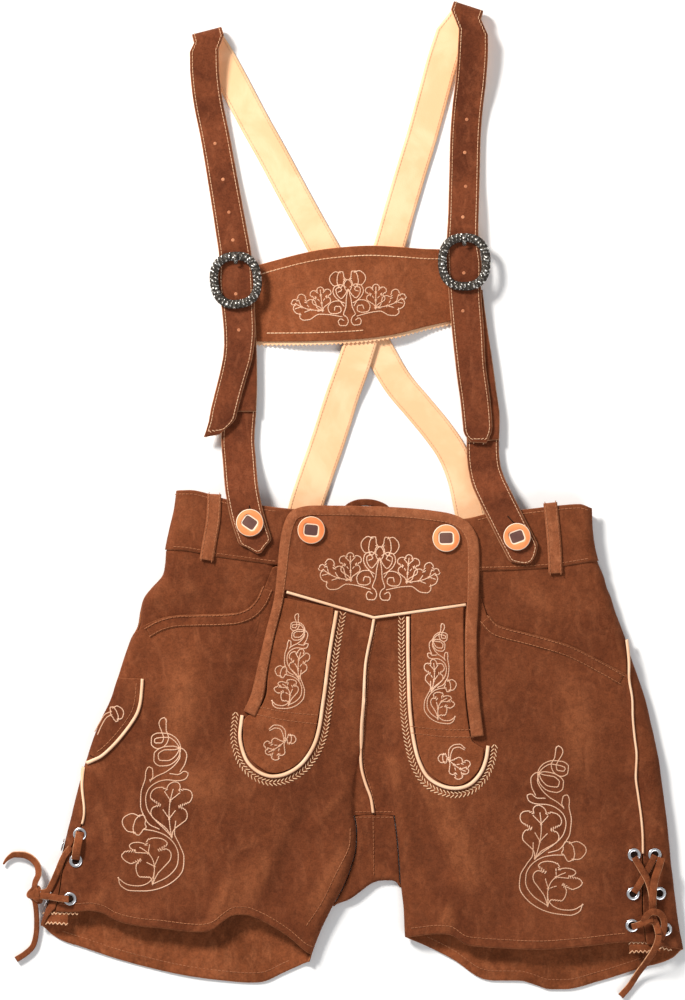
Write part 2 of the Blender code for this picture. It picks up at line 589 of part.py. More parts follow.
# Straps from the front tip up over the shoulder and down the back: x, y, height of the middle of the
# strap, width, turn of its cross direction in degrees. The shoulder fold comes between the two tables.
STRAP_FRONT = {
    "_l": [(-113, 45, 9.4, 12, 10), (-106.5, 54, 9.4, 19, 6), (-103, 66, 9.6, 20, -14),
           (-100.5, 76, 9.8, 20, -14), (-96.5, 91, 10, 20.5, -16), (-93, 106, 9.9, 22, -8),
           (-91.9, 122, 9.6, 23.5, 0), (-93.3, 140, 9.6, 24.5, 4), (-95.6, 181, 9.6, 23.5, 6),
           (-98.5, 200, 8.4, 22, 9), (-104, 234, 5.2, 22, 8), (-110.5, 271, 4.4, 22, 9),
           (-115.5, 296, 6.4, 22, 7), (-118, 318, 10, 22, 3), (-118.3, 334, 13, 22, 6)],
    "_r": [(87.5, 40, 9.4, 12, -4), (87, 50, 9.4, 22, 8), (85, 72, 9.6, 22.5, 8), (82, 94, 9.8, 22.5, 7),
           (79.5, 124, 9.8, 24, 4), (77.2, 154, 9.6, 24.5, 2), (75.5, 192, 9.6, 24, 0),
           (76.2, 212, 8.2, 23, -1), (77, 240, 5, 23, 0), (78, 274, 4.4, 23, -2), (79.5, 293, 6, 23, -4),
           (81.5, 310, 9, 23, -6), (83, 330, 12, 23, -6), (83.5, 348, 13.4, 22.5, -12)],
}
# Shoulder folds: x and y of the middle of the fold line, turn of the fold line, radius.
SHOULDER = {"_l": (-116.6, 349.5, 14.5, 6.0), "_r": (80.2, 368.0, -18.0, 6.0)}
STRAP_BACK = {
    "_l": [(-107, 330, 1.2, 22.5, 25), (-97, 311.5, 1.2, 22.5, 29), (-81.5, 282, 1.2, 22.5, 29),
           (-67, 256, 1.2, 22.5, 29), (-52, 228, 1.2, 22.5, 29), (-36, 199, 1.2, 22.5, 29),
           (-22, 174, 1.2, 22.5, 29), (-4, 140, 1.2, 22.5, 30), (13.5, 108, 1.2, 22.5, 33),
           (27, 85, 1.2, 22.5, 38), (42, 67, 1.2, 22.5, 40), (56, 50, 1.2, 22.5, 38),
           (67, 34, 1.2, 22.5, 30), (75, 15, 1.2, 22.5, 20), (80, -7, 1.2, 22.5, 12),
           (83, -24, 1.2, 22.5, 10), (86, -40, 1.2, 22.5, 10)],
    "_r": [(67, 348, 1.2, 22.5, -17), (61, 329, 1.2, 23, -17), (54.5, 305, 1.2, 23, -16),
           (50, 288, 1.2, 23, -15), (45, 270, 1.2, 23, -16), (37, 244, 1.2, 23, -16),
           (29, 217, 1.2, 23, -16), (21, 189, 2.0, 23, -16), (14.5, 170, 3.9, 23, -16),
           (8, 146, 4.3, 23.5, -17), (3, 128, 4.3, 24, -18), (-2, 112, 4.3, 24.5, -18),
           (-8, 94, 4.1, 25, -18), (-14.5, 76, 2.4, 25, -18), (-20.5, 57, 1.3, 25.5, -18),
           (-27, 37, 1.2, 25.5, -18), (-34, 17, 1.2, 25.5, -18), (-41, -4, 1.2, 25.5, -17),
           (-46, -22, 1.2, 25.5, -15), (-51, -40, 1.2, 25.5, -15)],
}
END_PLY = 1.8
# Lower straps from the tip on the waistband up to the buckle: x, y, height, width, turn.
STRAP_END = {
    "_l": [(-77, -43, 18, 3, 10), (-78.5, -38.5, 18, 13, 8), (-80.5, -32.5, 18, 25, 8),
           (-86, -15, 18, 25, 14), (-88.8, -2, 18, 25, 10), (-90, 5, 17.4, 25, 8), (-91, 14, 12.5, 25, 6),
           (-92, 26, 7.4, 25, 4), (-93.2, 42, 5.2, 25, 2), (-92, 62, 5, 25, 0), (-91, 80, 5, 24.5, 0),
           (-90.8, 100, 5, 24, 1), (-91.5, 120, 5, 24, 3), (-92.5, 144, 5, 24, 5)],
    "_r": [(124.5, -50.5, 18, 4, 15), (122.5, -46, 18, 18, 26), (120.3, -41, 18, 25, 31),
           (113.5, -28, 18, 25, 29), (107, -15, 18, 25, 26), (100, -1, 17.6, 25, 24), (95, 10, 13, 25, 18),
           (92, 21, 7.8, 24.5, 11), (90.8, 36, 5.4, 24.5, 5), (91, 58, 5, 25, 6), (88.5, 78, 5, 25, 8),
           (85.3, 102, 5, 25, 8), (82, 125, 5, 24.5, 6), (78.8, 152, 5, 24, 3)],
}
FOLDED_BACK_TO = {"_l": 63.0, "_r": 40.0}     # y where the turned-back layer of a lower strap ends
# Chest bar: x, lower edge y, upper edge y.
CHEST_BAR = [(-99, 115, 168), (-79, 116, 173.4), (-62, 116, 178), (-47, 116, 181.8), (-32, 116.3, 184.8),
             (-13, 117, 187), (6, 118.5, 188), (28, 122, 187), (45, 126.5, 185.8), (60, 130, 185.4),
             (74, 133, 184.5), (86, 136, 184)]
CHEST_ARCH = [(-99, 0.1), (-70, 1.0), (-48, 4.2), (-25, 5.9), (0, 6.2), (22, 6.2), (33, 5.6), (50, 2.4),
              (66, 0.6),
              (86, 0.1)]
LINING_PLY = 1.0
BAR_PLY = 1.8
LINING_PROUD = 3.4       # how far the lining shows below the bar
# Buckle rings: centre x, y, half width, half height, turn in degrees.
BUCKLES = {"_l": (-94.6, 161.8, 16.2, 18.0, 6), "_r": (76.7, 175.4, 16.4, 18.2, 0)}
RING_SECTION = (3.6, 2.3)     # half width and half height of the cast ring's section
RING_HEIGHT = 13.8
PRONG_SIZE = (2.2, 6.5)
BUTTONS = {"button_flap_l": (-38, -25.5), "button_flap_r": (63, -31.5),
           "button_strap_l": (-84, -20), "button_strap_r": (116, -30.5)}
BUTTON_DEPTH = 3.6
# Eyelets on the upper layer: x, y.
EYELETS = {
    "_l_front": [(-211.5, -253.5), (-214.5, -273.5), (-219, -302)],
    "_r_front": [(204, -269), (203.2, -298), (202.5, -322)],
    "_r_back": [(219.5, -269), (223, -298), (227.5, -325)],
}
EYELET_BACK_L = [-262, -282, -304]       # y of the back row on the side fold at the left
EYELET_DEPTH = 0.9
EYELET_HOLE = 5.4
# Thong routes: x, y, height of the middle.
LACES = {
    "lace_l": [(-246.2, -296.6, 9.0), (-245.2, -290, 9.0), (-242.6, -281.5, 8.6), (-241.8, -275, 7.6),
               (-244.5, -269, 6.2), (-251, -266.8, 4.6), (-258.5, -266.6, 3.4), (-265, -269, 2.7),
               (-269.5, -274.5, 2.5)],
    "lace_l_end": [(-246.0, -302.4, 8.8), (-245, -308, 7.4), (-244.4, -318, 4.6), (-245, -330, 2.7),
                   (-247.5, -338.5, 2.5), (-253, -344, 2.5), (-260, -348.5, 2.5)],
    "lace_r": [(221.1, -329.3, 19), (220, -334, 18.4), (218.5, -340, 16.8), (214, -350, 10.5),
               (207.5, -360, 5), (201, -368.5, 2.6), (194.5, -376, 2.5)],
    "lacing_l": [(-219.5, -302, 12), (-226, -301.5, 12), (-233, -300.5, 12), (-240.5, -299.8, 11),
                 (-246.6, -299.5, 9.4)],
    "lacing_r": [(204, -270.5, 15), (209, -279, 15), (214, -288, 15), (216.5, -300, 15), (217.5, -310, 15),
                 (221.5, -316.5, 15), (223.6, -322.5, 15), (222, -328, 19)],
}
LACE_CLEAR = 4.4         # middle of a thong above the cloth it lies on, over the eyelets


def ribbon_grid(rows):
    """Edges of a flat strap from rows of x, y, height, width and turn."""
    rows = np.array(rows, float)
    turn = np.radians(rows[:, 4])
    half = rows[:, 3:4] / 2 * np.stack([np.cos(turn), np.sin(turn), 0 * turn], 1)
    return np.stack([rows[:, :3] - half, rows[:, :3] + half], 1)


def add_ribbon(name, grid, thickness, material="suede"):
    normals = grid_normals(grid)
    return add_wall(name, grid + normals * thickness / 2, grid - normals * thickness / 2, material)


def shoulder_arc(end, steps=7):
    """Edges of a strap round its shoulder fold, from the front layer to the back layer."""
    x, y, turn, radius = SHOULDER[end]
    turn = math.radians(turn)
    cross = np.array((math.cos(turn), math.sin(turn), 0)) * STRAP_WIDTH / 2 / math.cos(turn)
    out = np.array((-math.sin(turn), math.cos(turn), 0))
    base = np.array((x, y, 0)) - out * (radius + STRAP_PLY / 2)
    rows = []
    for angle in np.linspace(0, math.pi, steps):
        centre = base + out * radius * math.sin(angle)
        centre[2] = STRAP_PLY / 2 + radius * (1 + math.cos(angle))
        rows.append((centre - cross, centre + cross))
    return np.array(rows)


def make_straps():
    for end in ("_l", "_r"):
        front = ribbon_grid(smooth_path(STRAP_FRONT[end], 22))
        back = ribbon_grid(smooth_path(STRAP_BACK[end], 24))
        grid = np.concatenate((front, shoulder_arc(end), back))
        add_ribbon("strap" + end, grid, STRAP_PLY)


def make_strap_ends():
    """The lower strap runs up under the buckle, turns back on itself and stops short of the waist."""
    for end in ("_l", "_r"):
        up = smooth_path(STRAP_END[end], 24)
        back = up[up[:, 1] > FOLDED_BACK_TO[end]][::-1].copy()
        rise = END_PLY + LAY_GAP
        back[:, 2] += rise
        turn = back[0].copy()
        turn[1] += rise / 2 + 0.4
        turn[2] = up[-1, 2] + rise / 2
        step = np.array((0, 0.5, 0, 0, 0))
        rows = ribbon_grid(np.concatenate((up[:-1], [up[-1] - step, turn, back[0] - step],
                                           back[1:])))
        add_ribbon("strap_end" + end, rows, END_PLY)


def chest_grid(below, lift):
    """Grid of the chest bar's points at a height above its arch."""
    grid = []
    for x in np.linspace(CHEST_BAR[0][0], CHEST_BAR[-1][0], 17):
        low, high = read_curve(CHEST_BAR, x, 1) - below, read_curve(CHEST_BAR, x, 2)
        height = read_curve(CHEST_ARCH, x) + lift
        grid.append([(x, low + (high - low) * t, height) for t in np.linspace(0, 1, 4)])
    return np.array(grid)


def make_chest_bar():
    add_wall("chest_bar_lining", chest_grid(LINING_PROUD, LINING_PLY), chest_grid(LINING_PROUD, 0.0), "lining")
    base = LINING_PLY + LAY_GAP
    add_wall("chest_bar", chest_grid(0.0, base + BAR_PLY), chest_grid(0.0, base), "suede")


def rounded_octagon(angle, half_width, half_height):
    """A point of the ring's outline: between an ellipse and a box."""
    power = 2 / 2.7
    c, s = math.cos(angle), math.sin(angle)
    return (half_width * math.copysign(abs(c)**power, c), half_height * math.copysign(abs(s)**power, s))


def make_buckles():
    for end, (x, y, half_width, half_height, turn) in BUCKLES.items():
        turn = math.radians(turn)
        points, faces = [], []
        around, across = 28, 8
        for i in range(around):
            angle = 2 * math.pi * i / around
            px, py = rounded_octagon(angle, half_width, half_height)
            length = math.hypot(px, py)
            for j in range(across):
                section_angle = 2 * math.pi * j / across
                reach = 1 + RING_SECTION[0] * math.cos(section_angle) / length
                ox, oy = px * reach, py * reach
                points.append((x + ox * math.cos(turn) - oy * math.sin(turn),
                               y + ox * math.sin(turn) + oy * math.cos(turn),
                               RING_HEIGHT + RING_SECTION[1] * math.sin(section_angle)))
                a, b = i * across + j, i * across + (j + 1) % across
                c, d = ((i + 1) % around) * across + (j + 1) % across, ((i + 1) % around) * across + j
                faces.append((a, b, c, d))
        add_object("buckle" + end, points, faces, "silver")
        tip = y + half_height - RING_SECTION[0] - PRONG_SIZE[1] - 0.3
        add_block("prong" + end, (x - PRONG_SIZE[0] / 2, tip, 11.6),
                  (x + PRONG_SIZE[0] / 2, tip + PRONG_SIZE[1], 13.2), "silver")


def add_block(name, low, high, material):
    corners = [(x, y, z) for z in (low[2], high[2]) for x, y in
               ((low[0], low[1]), (high[0], low[1]), (high[0], high[1]), (low[0], high[1]))]
    faces = [(3, 2, 1, 0), (4, 5, 6, 7), (0, 1, 5, 4), (1, 2, 6, 5), (2, 3, 7, 6), (3, 0, 4, 7)]
    return add_object(name, corners, faces, material)


def add_turned(name, profile, centre, normal, material, sides=20):
    """A turned solid: profile rows of radius and height, closed to the axis or as a ring."""
    normal = np.array(normal, float) / np.linalg.norm(normal)
    start = np.cross(normal, (0, 1, 0) if abs(normal[1]) < 0.9 else (1, 0, 0))
    start /= np.linalg.norm(start)
    other = np.cross(normal, start)
    points, faces = [], []
    for radius, height in profile:
        for k in range(sides):
            angle = 2 * math.pi * k / sides
            points.append(np.array(centre) + normal * height
                          + radius * (math.cos(angle) * start + math.sin(angle) * other))
    for r in range(len(profile) - 1):
        for k in range(sides):
            a, b = r * sides + k, r * sides + (k + 1) % sides
            faces.append((a, b, b + sides, a + sides))
    if profile[0] == profile[-1]:
        points = points[:-sides]
        faces = [tuple(i % len(points) for i in face) for face in faces]
    else:
        faces.append(tuple(range(sides))[::-1])
        last = (len(profile) - 1) * sides
        faces.append(tuple(last + k for k in range(sides)))
    return add_object(name, points, faces, material)


def make_buttons():
    rim = BUTTON_WIDTH / 2
    profile = [(3.0, 0), (3.0, 0.8), (rim - 1.2, 0.9), (rim, 1.7), (rim - 0.4, 3.0), (rim - 2.0, BUTTON_DEPTH),
               (rim - 4.0, 2.9)]
    for name, (x, y) in BUTTONS.items():
        if "flap" in name:
            seat = on_front(x, y, YOKE_LIFT + 1.8 + 0.5)[2]
        else:
            end = STRAP_END[name[-2:]]
            height = read_curve([(row[1], row[2]) for row in end], y)
            seat = height + END_PLY / 2 + 0.5
        add_turned(name, profile, (x, y, seat), (0, 0, 1), "horn", 24)


def make_eyelets():
    outer, hole = EYELET_WIDTH / 2, EYELET_HOLE / 2
    profile = [(hole, 0), (outer, 0), (outer - 0.5, EYELET_DEPTH), (hole + 0.3, EYELET_DEPTH), (hole, 0)]
    for row, places in EYELETS.items():
        for i, (x, y) in enumerate(places):
            foot = on_front(x, y, LAY_GAP)
            normal = on_front(x, y, LAY_GAP + 1) - foot
            add_turned(f"eyelet{row}_{i + 1}", profile, foot, normal, "chrome", 14)
    for i, y in enumerate(EYELET_BACK_L):
        lean = (side_edge(-1, y + 3) - side_edge(-1, y - 3)) / 6
        centre = (side_edge(-1, y) - 1.5 * LAY_GAP, y, side_middle(y))
        add_turned(f"eyelet_l_back_{i + 1}", profile, centre, (-1, lean, 0), "chrome", 14)


def add_tube(name, points, count, width):
    curve = bpy.data.curves.new(name, "CURVE")
    curve.dimensions = "3D"
    spline = curve.splines.new("POLY")
    path = smooth_path(points, count) * MM
    spline.points.add(count - 1)
    for place, point in zip(spline.points, path):
        place.co = (*point, 1)
    curve.bevel_depth = width / 2 * MM
    curve.bevel_resolution = 2
    curve.use_fill_caps = True
    curve.materials.append(MATERIALS["suede"])
    bpy.context.collection.objects.link(bpy.data.objects.new(name, curve))


def make_laces():
    for name, points in LACES.items():
        raised = []
        for x, y, z in points:
            side = math.copysign(1, x)
            if (side_edge(side, y) - x) * side > 0 and y > -339:
                z = max(z, upper(side, x, y) + LACE_CLEAR)
            raised.append((x, y, z))
        add_tube(name, raised, 16, LACE_WIDTH)


def make_back_loop():
    """Hanging loop: an arch of suede from the inside of the back waistband."""
    path = smooth_path([(-14, -19), (-13.5, -9), (-6, -4.6), (3, -3.6), (13, -5), (20.5, -9.5), (22, -19)], 18)
    step = side_step(path) * 1.8
    height = BACK_LIFT[0][1] + WAIST_PLY + LAY_GAP
    grid = [[(*(path[i] + step[i]), height), (*(path[i] - step[i]), height)] for i in range(len(path))]
    grid = np.array(grid)
    add_wall("back_loop", grid + (0, 0, 1.4), grid, "suede")


for leftover in list(bpy.data.objects):
    bpy.data.objects.remove(leftover, do_unlink=True)
MATERIALS = {name: make_material(name) for name in COLOURS}
make_fronts_and_backs()
make_hips()
make_waistbands()
make_gusset()
make_flap()
make_stripes()
make_pipings()
make_knife_pocket()
make_small_cloth()
make_straps()
make_strap_ends()
make_chest_bar()
make_buckles()
make_buttons()
make_eyelets()
make_laces()
make_back_loop()
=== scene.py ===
# %% [markdown]
# # Suede lederhosen, laid flat
# Short leather trousers with a drop flap, straps and a chest bar, as they lie on a table. The part's
# solids are loaded first, as a fixed frame. Every piece below lies where its solid lies, so the looks can
# be as fine as we like while the sizes stay true.

# %% Load the frame
import math

import bpy
import numpy as np
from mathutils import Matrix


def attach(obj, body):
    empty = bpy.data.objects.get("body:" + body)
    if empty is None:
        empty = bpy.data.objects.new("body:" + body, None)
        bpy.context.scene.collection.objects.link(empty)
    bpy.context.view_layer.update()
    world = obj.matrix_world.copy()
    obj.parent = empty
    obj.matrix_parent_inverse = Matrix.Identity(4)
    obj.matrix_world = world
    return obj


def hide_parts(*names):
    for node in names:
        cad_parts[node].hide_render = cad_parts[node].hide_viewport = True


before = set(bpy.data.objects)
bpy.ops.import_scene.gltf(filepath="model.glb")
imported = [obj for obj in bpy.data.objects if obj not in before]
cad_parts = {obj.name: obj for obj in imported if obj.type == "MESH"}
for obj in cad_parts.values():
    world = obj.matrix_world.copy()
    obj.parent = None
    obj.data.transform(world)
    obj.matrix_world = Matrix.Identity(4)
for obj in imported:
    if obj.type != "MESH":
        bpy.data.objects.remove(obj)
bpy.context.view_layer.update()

MM = 0.001

# %% [markdown]
# A garment on a table is looked at from straight above. A long lens from far away keeps shoulders and
# hems at one scale, which a short lens would not. One big soft lamp at the upper left draws the folds, and
# a pale world fills the shadows, as in a small studio.

# %% Camera, floor and light
VIEW_CENTRE = (-14.6, -3.0)      # what the camera looks down on, in millimetres
VIEW_LENGTH = 750.0              # what the long side of the frame takes in at the cloth's height
CLOTH_HEIGHT = 12.0
CAMERA_HEIGHT = 4000.0
SENSOR = 36.0

camera = bpy.data.objects.new("camera", bpy.data.cameras.new("camera"))
camera.location = (VIEW_CENTRE[0] * MM, VIEW_CENTRE[1] * MM, CAMERA_HEIGHT * MM)
camera.data.sensor_width = SENSOR
camera.data.lens = SENSOR * (CAMERA_HEIGHT - CLOTH_HEIGHT) / VIEW_LENGTH
camera.data.clip_end = 50
bpy.context.collection.objects.link(camera)
bpy.context.scene.camera = camera
bpy.context.scene.view_settings.view_transform = "Standard"


def add_lamp(name, place, target, size, power, colour):
    """A square soft lamp in metres that faces its target."""
    lamp = bpy.data.objects.new(name, bpy.data.lights.new(name, "AREA"))
    lamp.data.size = size
    lamp.data.energy = power
    lamp.data.color = colour
    lamp.location = place
    towards = np.array(target, float) - np.array(place, float)
    flat = math.hypot(towards[0], towards[1])
    lamp.rotation_euler = (math.atan2(flat, -towards[2]), 0, math.atan2(-towards[0], towards[1]))
    bpy.context.collection.objects.link(lamp)


def add_floor(size, depth):
    mesh = bpy.data.meshes.new("floor")
    half = size / 2
    mesh.from_pydata([(-half, -half, depth), (half, -half, depth), (half, half, depth), (-half, half, depth)],
                     [], [(0, 1, 2, 3)])
    floor = bpy.data.objects.new("floor", mesh)
    bpy.context.collection.objects.link(floor)
    material = bpy.data.materials.new("floor_paper")
    material.use_nodes = True
    shader = material.node_tree.nodes["Principled BSDF"]
    shader.inputs["Base Color"].default_value = (0.93, 0.925, 0.915, 1)
    shader.inputs["Roughness"].default_value = 0.9
    mesh.materials.append(material)


add_lamp("key", (-1.25, 1.35, 1.55), (0, 0, 0), 0.5, 80, (1.0, 0.972, 0.935))
add_lamp("fill", (1.2, -1.9, 2.2), (0, 0, 0), 1.8, 30, (0.95, 0.97, 1.0))
add_floor(9.0, -0.0004)
world = bpy.data.worlds.new("studio")
world.use_nodes = True
world.node_tree.nodes["Background"].inputs["Color"].default_value = (0.97, 0.98, 1.0, 1)
world.node_tree.nodes["Background"].inputs["Strength"].default_value = 0.34
bpy.context.scene.world = world
print("camera lens", round(camera.data.lens, 1), "mm")

# %% [markdown]
# ## The cut
# A maker starts from paper patterns. Here the pattern is a few tables in millimetres: how wide each side is
# at each height, where the seams run and how high the layers lie. The same numbers drove the solids, so a
# finer surface made from them falls on the same place. _l and _r mean the viewer's left and right.

# %% Sizes and outlines
SUEDE = 1.5            # thickness of one layer of suede
SEAM_GAP = 0.8         # between two faceted pieces sewn edge to edge round a fold
LAY_GAP = 0.4          # between a panel and what is sewn on it
WAIST_PLY = 2.3        # waistband, two layers
WAIST_RISE = 0.8       # the waistband stands this much proud of the panels
STRAP_PLY = 2.4        # suede strap with its light lining
STRAP_WIDTH = 22.5
BUTTON_WIDTH = 20.5
EYELET_WIDTH = 9.5
LACE_WIDTH = 4.8
PIPING_WIDTH = 2.2
CENTRE_X = 9.0         # centre seam at the waist
CROTCH_Y = -239.0      # top seam of the gusset

# Side outlines, a row for each height: y, left edge x, right edge x.
OUTLINE = [(10, -138, 171), (-10, -140.5, 172), (-25, -144, 172.5), (-40, -147, 174.5), (-52, -148, 178),
           (-60, -150, 181.5), (-69, -158, 184), (-76, -163.5, 187), (-86, -166.5, 190), (-99, -169, 195),
           (-106, -173, 197.5), (-115, -176.5, 200), (-138, -184, 208), (-153, -189, 213), (-170, -197, 217),
           (-198, -207, 223), (-213, -211.5, 225), (-243, -219, 229), (-273, -226.5, 232),
           (-299, -234, 235), (-322, -241.5, 238), (-340, -246, 241.5), (-380, -252, 246)]
# Fold of each leg towards the crotch: y, left leg x, right leg x.
INNER_FOLD = [(10, 5, 5), (-100, 5, 5), (-150, 3, 10), (-180, 0, 16), (-200, -3, 19), (-228, -6, 23),
              (-239, -6, 24.5), (-250, -4.5, 26), (-265, -5, 27.5), (-280, -9, 28.5), (-295, -15, 29.5),
              (-308, -22, 31), (-328, -31.5, 32), (-346, -38, 33.5), (-380, -46, 36)]
# Height of the upper layer: y, at the inner fold, over the leg, at the side, valley between the legs.
HEIGHTS = [(10, 15, 16, 14, 15), (-50, 15, 16, 14, 15), (-100, 14.5, 18, 13, 14.5), (-160, 13, 20, 12, 11.5),
           (-200, 11.5, 21, 12, 8), (-239, 11, 21, 12, 6), (-300, 11, 20, 12, 6), (-380, 11, 18, 11, 6)]
# How far each fold's curve reaches in: y, side fold, inner fold.
ROUNDING = [(10, 6, 40), (-60, 8, 40), (-100, 9, 40), (-160, 9, 30), (-200, 9, 16), (-239, 9, 7),
            (-380, 9, 7)]
# Distance of the side seam from the side fold, measured on top: y, left, right.
SIDE_SEAM = [(10, 0, 0), (-104, 0, 0), (-119, 0, 2), (-134, 0, 7), (-146, 0, 9), (-168, 0, 13.5),
             (-198, 0, 17), (-213, 2, 19.5), (-243, 10, 19.5), (-256, 8, 20), (-268, 5, 21),
             (-280, 4, 22), (-303, 7, 25), (-380, 12, 30)]
# Bow of the centre front seam: y, x.
CENTRE_SEAM = [(10, 9), (-91, 9), (-108, 6), (-123, 3), (-153, 1), (-183, -1), (-198, -1), (-217, 3),
               (-228, 7), (-239, 8.5)]
# Underside of the back: y, height above the table, where the strap ends are sewn under the waistband.
BACK_LIFT = [(10, 2.8), (-52, 2.8), (-64, 1.8), (-78, 0), (-380, 0)]

# Edges that run across, a row for each point: x, y.
WAIST_TOP = [(-146, 4), (-129, 4.5), (-114, 1.5), (-103, -2), (-75, -7), (-59, -9), (-20, -12),
             (30, -15), (75, -17), (95, -13), (118, -10.5), (148, -7), (163, -6), (170, -8), (176, -11)]
WAIST_SEAM = [(-150, -40.5), (-133, -41), (-112, -45), (-91, -48), (-59, -52), (9, -55), (88, -56),
              (137, -54), (151, -52.5), (177, -49), (180, -49)]
MOUTH_L = [(-180, -106), (-174, -105), (-166.5, -99), (-155, -93), (-144, -90), (-121, -88.5),
           (-103, -88), (-88, -86), (-80, -82), (-75, -74), (-70, -62), (-66, -52.5), (-59, -52)]
MOUTH_R = [(84, -56), (88, -72), (93, -88), (101, -96.5), (118, -101), (137, -106), (156, -112),
           (178, -123), (199, -134), (206, -138)]
FRONT_HEM_L = [(-240, -311), (-219, -312), (-204, -311), (-194, -313), (-185, -318), (-170, -322),
               (-151, -324), (-121, -327), (-112, -325), (-103, -318), (-95, -314), (-88, -314),
               (-76, -318), (-65, -324), (-54, -331.5), (-40, -343), (-30, -345)]
FRONT_HEM_R = [(30, -331.5), (43, -330), (56, -328.5), (66, -329), (70, -331), (77, -336), (88, -338),
               (103, -339), (133, -340), (163, -338), (201, -334.5), (241, -336)]
BACK_HEM_L = [(-246, -322), (-241, -323), (-234, -329), (-226, -334), (-211, -339), (-181, -349),
              (-136, -360), (-99, -365), (-84, -366), (-73, -365), (-59, -358.5), (-39, -350), (-30, -348)]
BACK_HEM_R = [(30, -330), (33, -332), (43, -336), (58, -343), (70, -349.5), (88, -362), (100, -364.5),
              (118, -364.5), (130, -367.5), (141, -371), (152, -371), (178, -365), (208, -355.5),
              (235, -346.5), (241, -341), (246, -340)]
# Hem of the back panels where they come round to the front.
WRAPPED_HEM = {"_l": [(-246, -323), (-241.5, -322.5), (-236, -315), (-231, -310), (-224, -308)],
               "_r": [(206, -335.5), (215, -336.5), (230, -338.5), (241.5, -340.5), (246, -341)]}
CROTCH = [(-22, -309), (-19, -307), (-9, -303), (0, -296.5), (6, -292), (12, -289.5), (21, -289),
          (26, -290.5), (30, -297)]

# %% [markdown]
# Between the rows of a table the outline has to be smooth but may never swing past a row, or a straight
# seam would get a belly. A cubic with limited slopes does this, and one function reads every table.

# %% Reading a table and walking along a path
def read_curve(rows, at, column=1):
    """Smooth value of a table's column at a place; its first column falls or rises all the way."""
    table = np.array(rows, float)
    if table[0, 0] > table[-1, 0]:
        table = table[::-1]
    xs, ys = table[:, 0], table[:, column]
    slopes = np.diff(ys) / np.diff(xs)
    tangents = np.concatenate(([slopes[0]], (slopes[1:] + slopes[:-1]) / 2, [slopes[-1]]))
    tangents[1:-1][slopes[1:] * slopes[:-1] <= 0] = 0
    at = np.clip(at, xs[0], xs[-1])
    i = np.clip(np.searchsorted(xs, at) - 1, 0, len(xs) - 2)
    step = xs[i + 1] - xs[i]
    t = (at - xs[i]) / step
    limit = 3 * np.abs(slopes[i])
    start = np.clip(tangents[i], -limit, limit) * step
    end = np.clip(tangents[i + 1], -limit, limit) * step
    return (ys[i] * (2 * t**3 - 3 * t**2 + 1) + ys[i + 1] * (3 * t**2 - 2 * t**3)
            + start * (t**3 - 2 * t**2 + t) + end * (t**3 - t**2))


def unit(vectors):
    return vectors / np.maximum(np.linalg.norm(vectors, axis=-1, keepdims=True), 1e-9)


def round_angles(count):
    return np.linspace(0, 2 * math.pi, count + 1)[:-1]


def lengths(line):
    return np.concatenate(([0], np.cumsum(np.linalg.norm(np.diff(line, axis=0), axis=1))))


def smooth_path(points, count=None, step=1.0):
    """Points spread evenly along a smooth curve through the given points, so many or so far apart."""
    points = np.array(points, float)
    places = lengths(points)
    fine = np.linspace(0, places[-1], 20 * len(points))
    curve = np.stack([read_curve(np.stack([places, c], 1), fine) for c in points.T], 1)
    along = lengths(curve)
    even = np.linspace(0, along[-1], count or max(3, int(along[-1] / step)))
    return np.stack([np.interp(even, along, c) for c in curve.T], 1)


print("left side seam at the hip:", round(float(read_curve(OUTLINE, -60)), 1), "mm")

# %% [markdown]
# The trousers are a tube of two layers, so one function gives the height of the upper layer at any place
# and another gives the lower one. Near a fold the surface drops along a quarter of an ellipse, which is
# how thick suede bends: round, never to a sharp line.

# %% The two layers of the trousers
def half_column(side):
    return 1 if side < 0 else 2


def side_edge(side, y):
    return read_curve(OUTLINE, y, half_column(side))


def inner_fold(side, y):
    return read_curve(INNER_FOLD, y, half_column(side))


def below_crotch(y):
    """Whether each leg is a tube of its own at this height."""
    return y < CROTCH_Y - 0.5


def round_off(distance, reach):
    """Quarter-ellipse: 0 at a fold, 1 from its reach inwards."""
    t = 1 - np.clip(distance / reach, 0, 1)
    return np.sqrt(np.maximum(1 - t * t, 0))


def side_middle(y):
    return (read_curve(HEIGHTS, y, 3) + read_curve(BACK_LIFT, y)) / 2


def upper(side, x, y):
    """Height of the front's outer surface."""
    fold, edge = inner_fold(side, y), side_edge(side, y)
    at_fold, over_leg, at_side, valley = (read_curve(HEIGHTS, y, c) for c in (1, 2, 3, 4))
    side_reach, fold_reach = read_curve(ROUNDING, y, 1), read_curve(ROUNDING, y, 2)
    s = np.clip((x - fold) / (edge - fold), 0, 1)
    crown = at_fold * (1 - s)**2 + 2 * over_leg * s * (1 - s) + at_side * s**2
    middle = side_middle(y)
    z = middle + (crown - middle) * round_off((edge - x) * side, side_reach)
    return valley + (z - valley) * round_off((x - fold) * side, fold_reach)


def lower(side, x, y):
    """Height of the back's outer surface, which lies on the table."""
    lift, middle = read_curve(BACK_LIFT, y), side_middle(y)
    z = middle - (middle - lift) * round_off((side_edge(side, y) - x) * side, read_curve(ROUNDING, y, 1))
    if below_crotch(y):
        valley = read_curve(HEIGHTS, y, 4)
        inner = round_off((x - inner_fold(side, y)) * side, read_curve(ROUNDING, y, 2))
        z = valley - (valley - z) * inner
    return z


def front_height(x, y):
    """Height of the front's outer surface at any places in plan."""
    return np.where(x < read_curve(CENTRE_SEAM, y), upper(-1, x, y), upper(1, x, y))


print("height over the legs:", round(float(front_height(-120.0, -240.0)), 1), "mm")

# %% [markdown]
# A panel is cut from that tube between two seams. At each height the section is walked like a tape
# measure, so points keep an even distance round the folds. Each column of points then runs from the
# panel's upper edge to its hem, wherever those two edges lie.

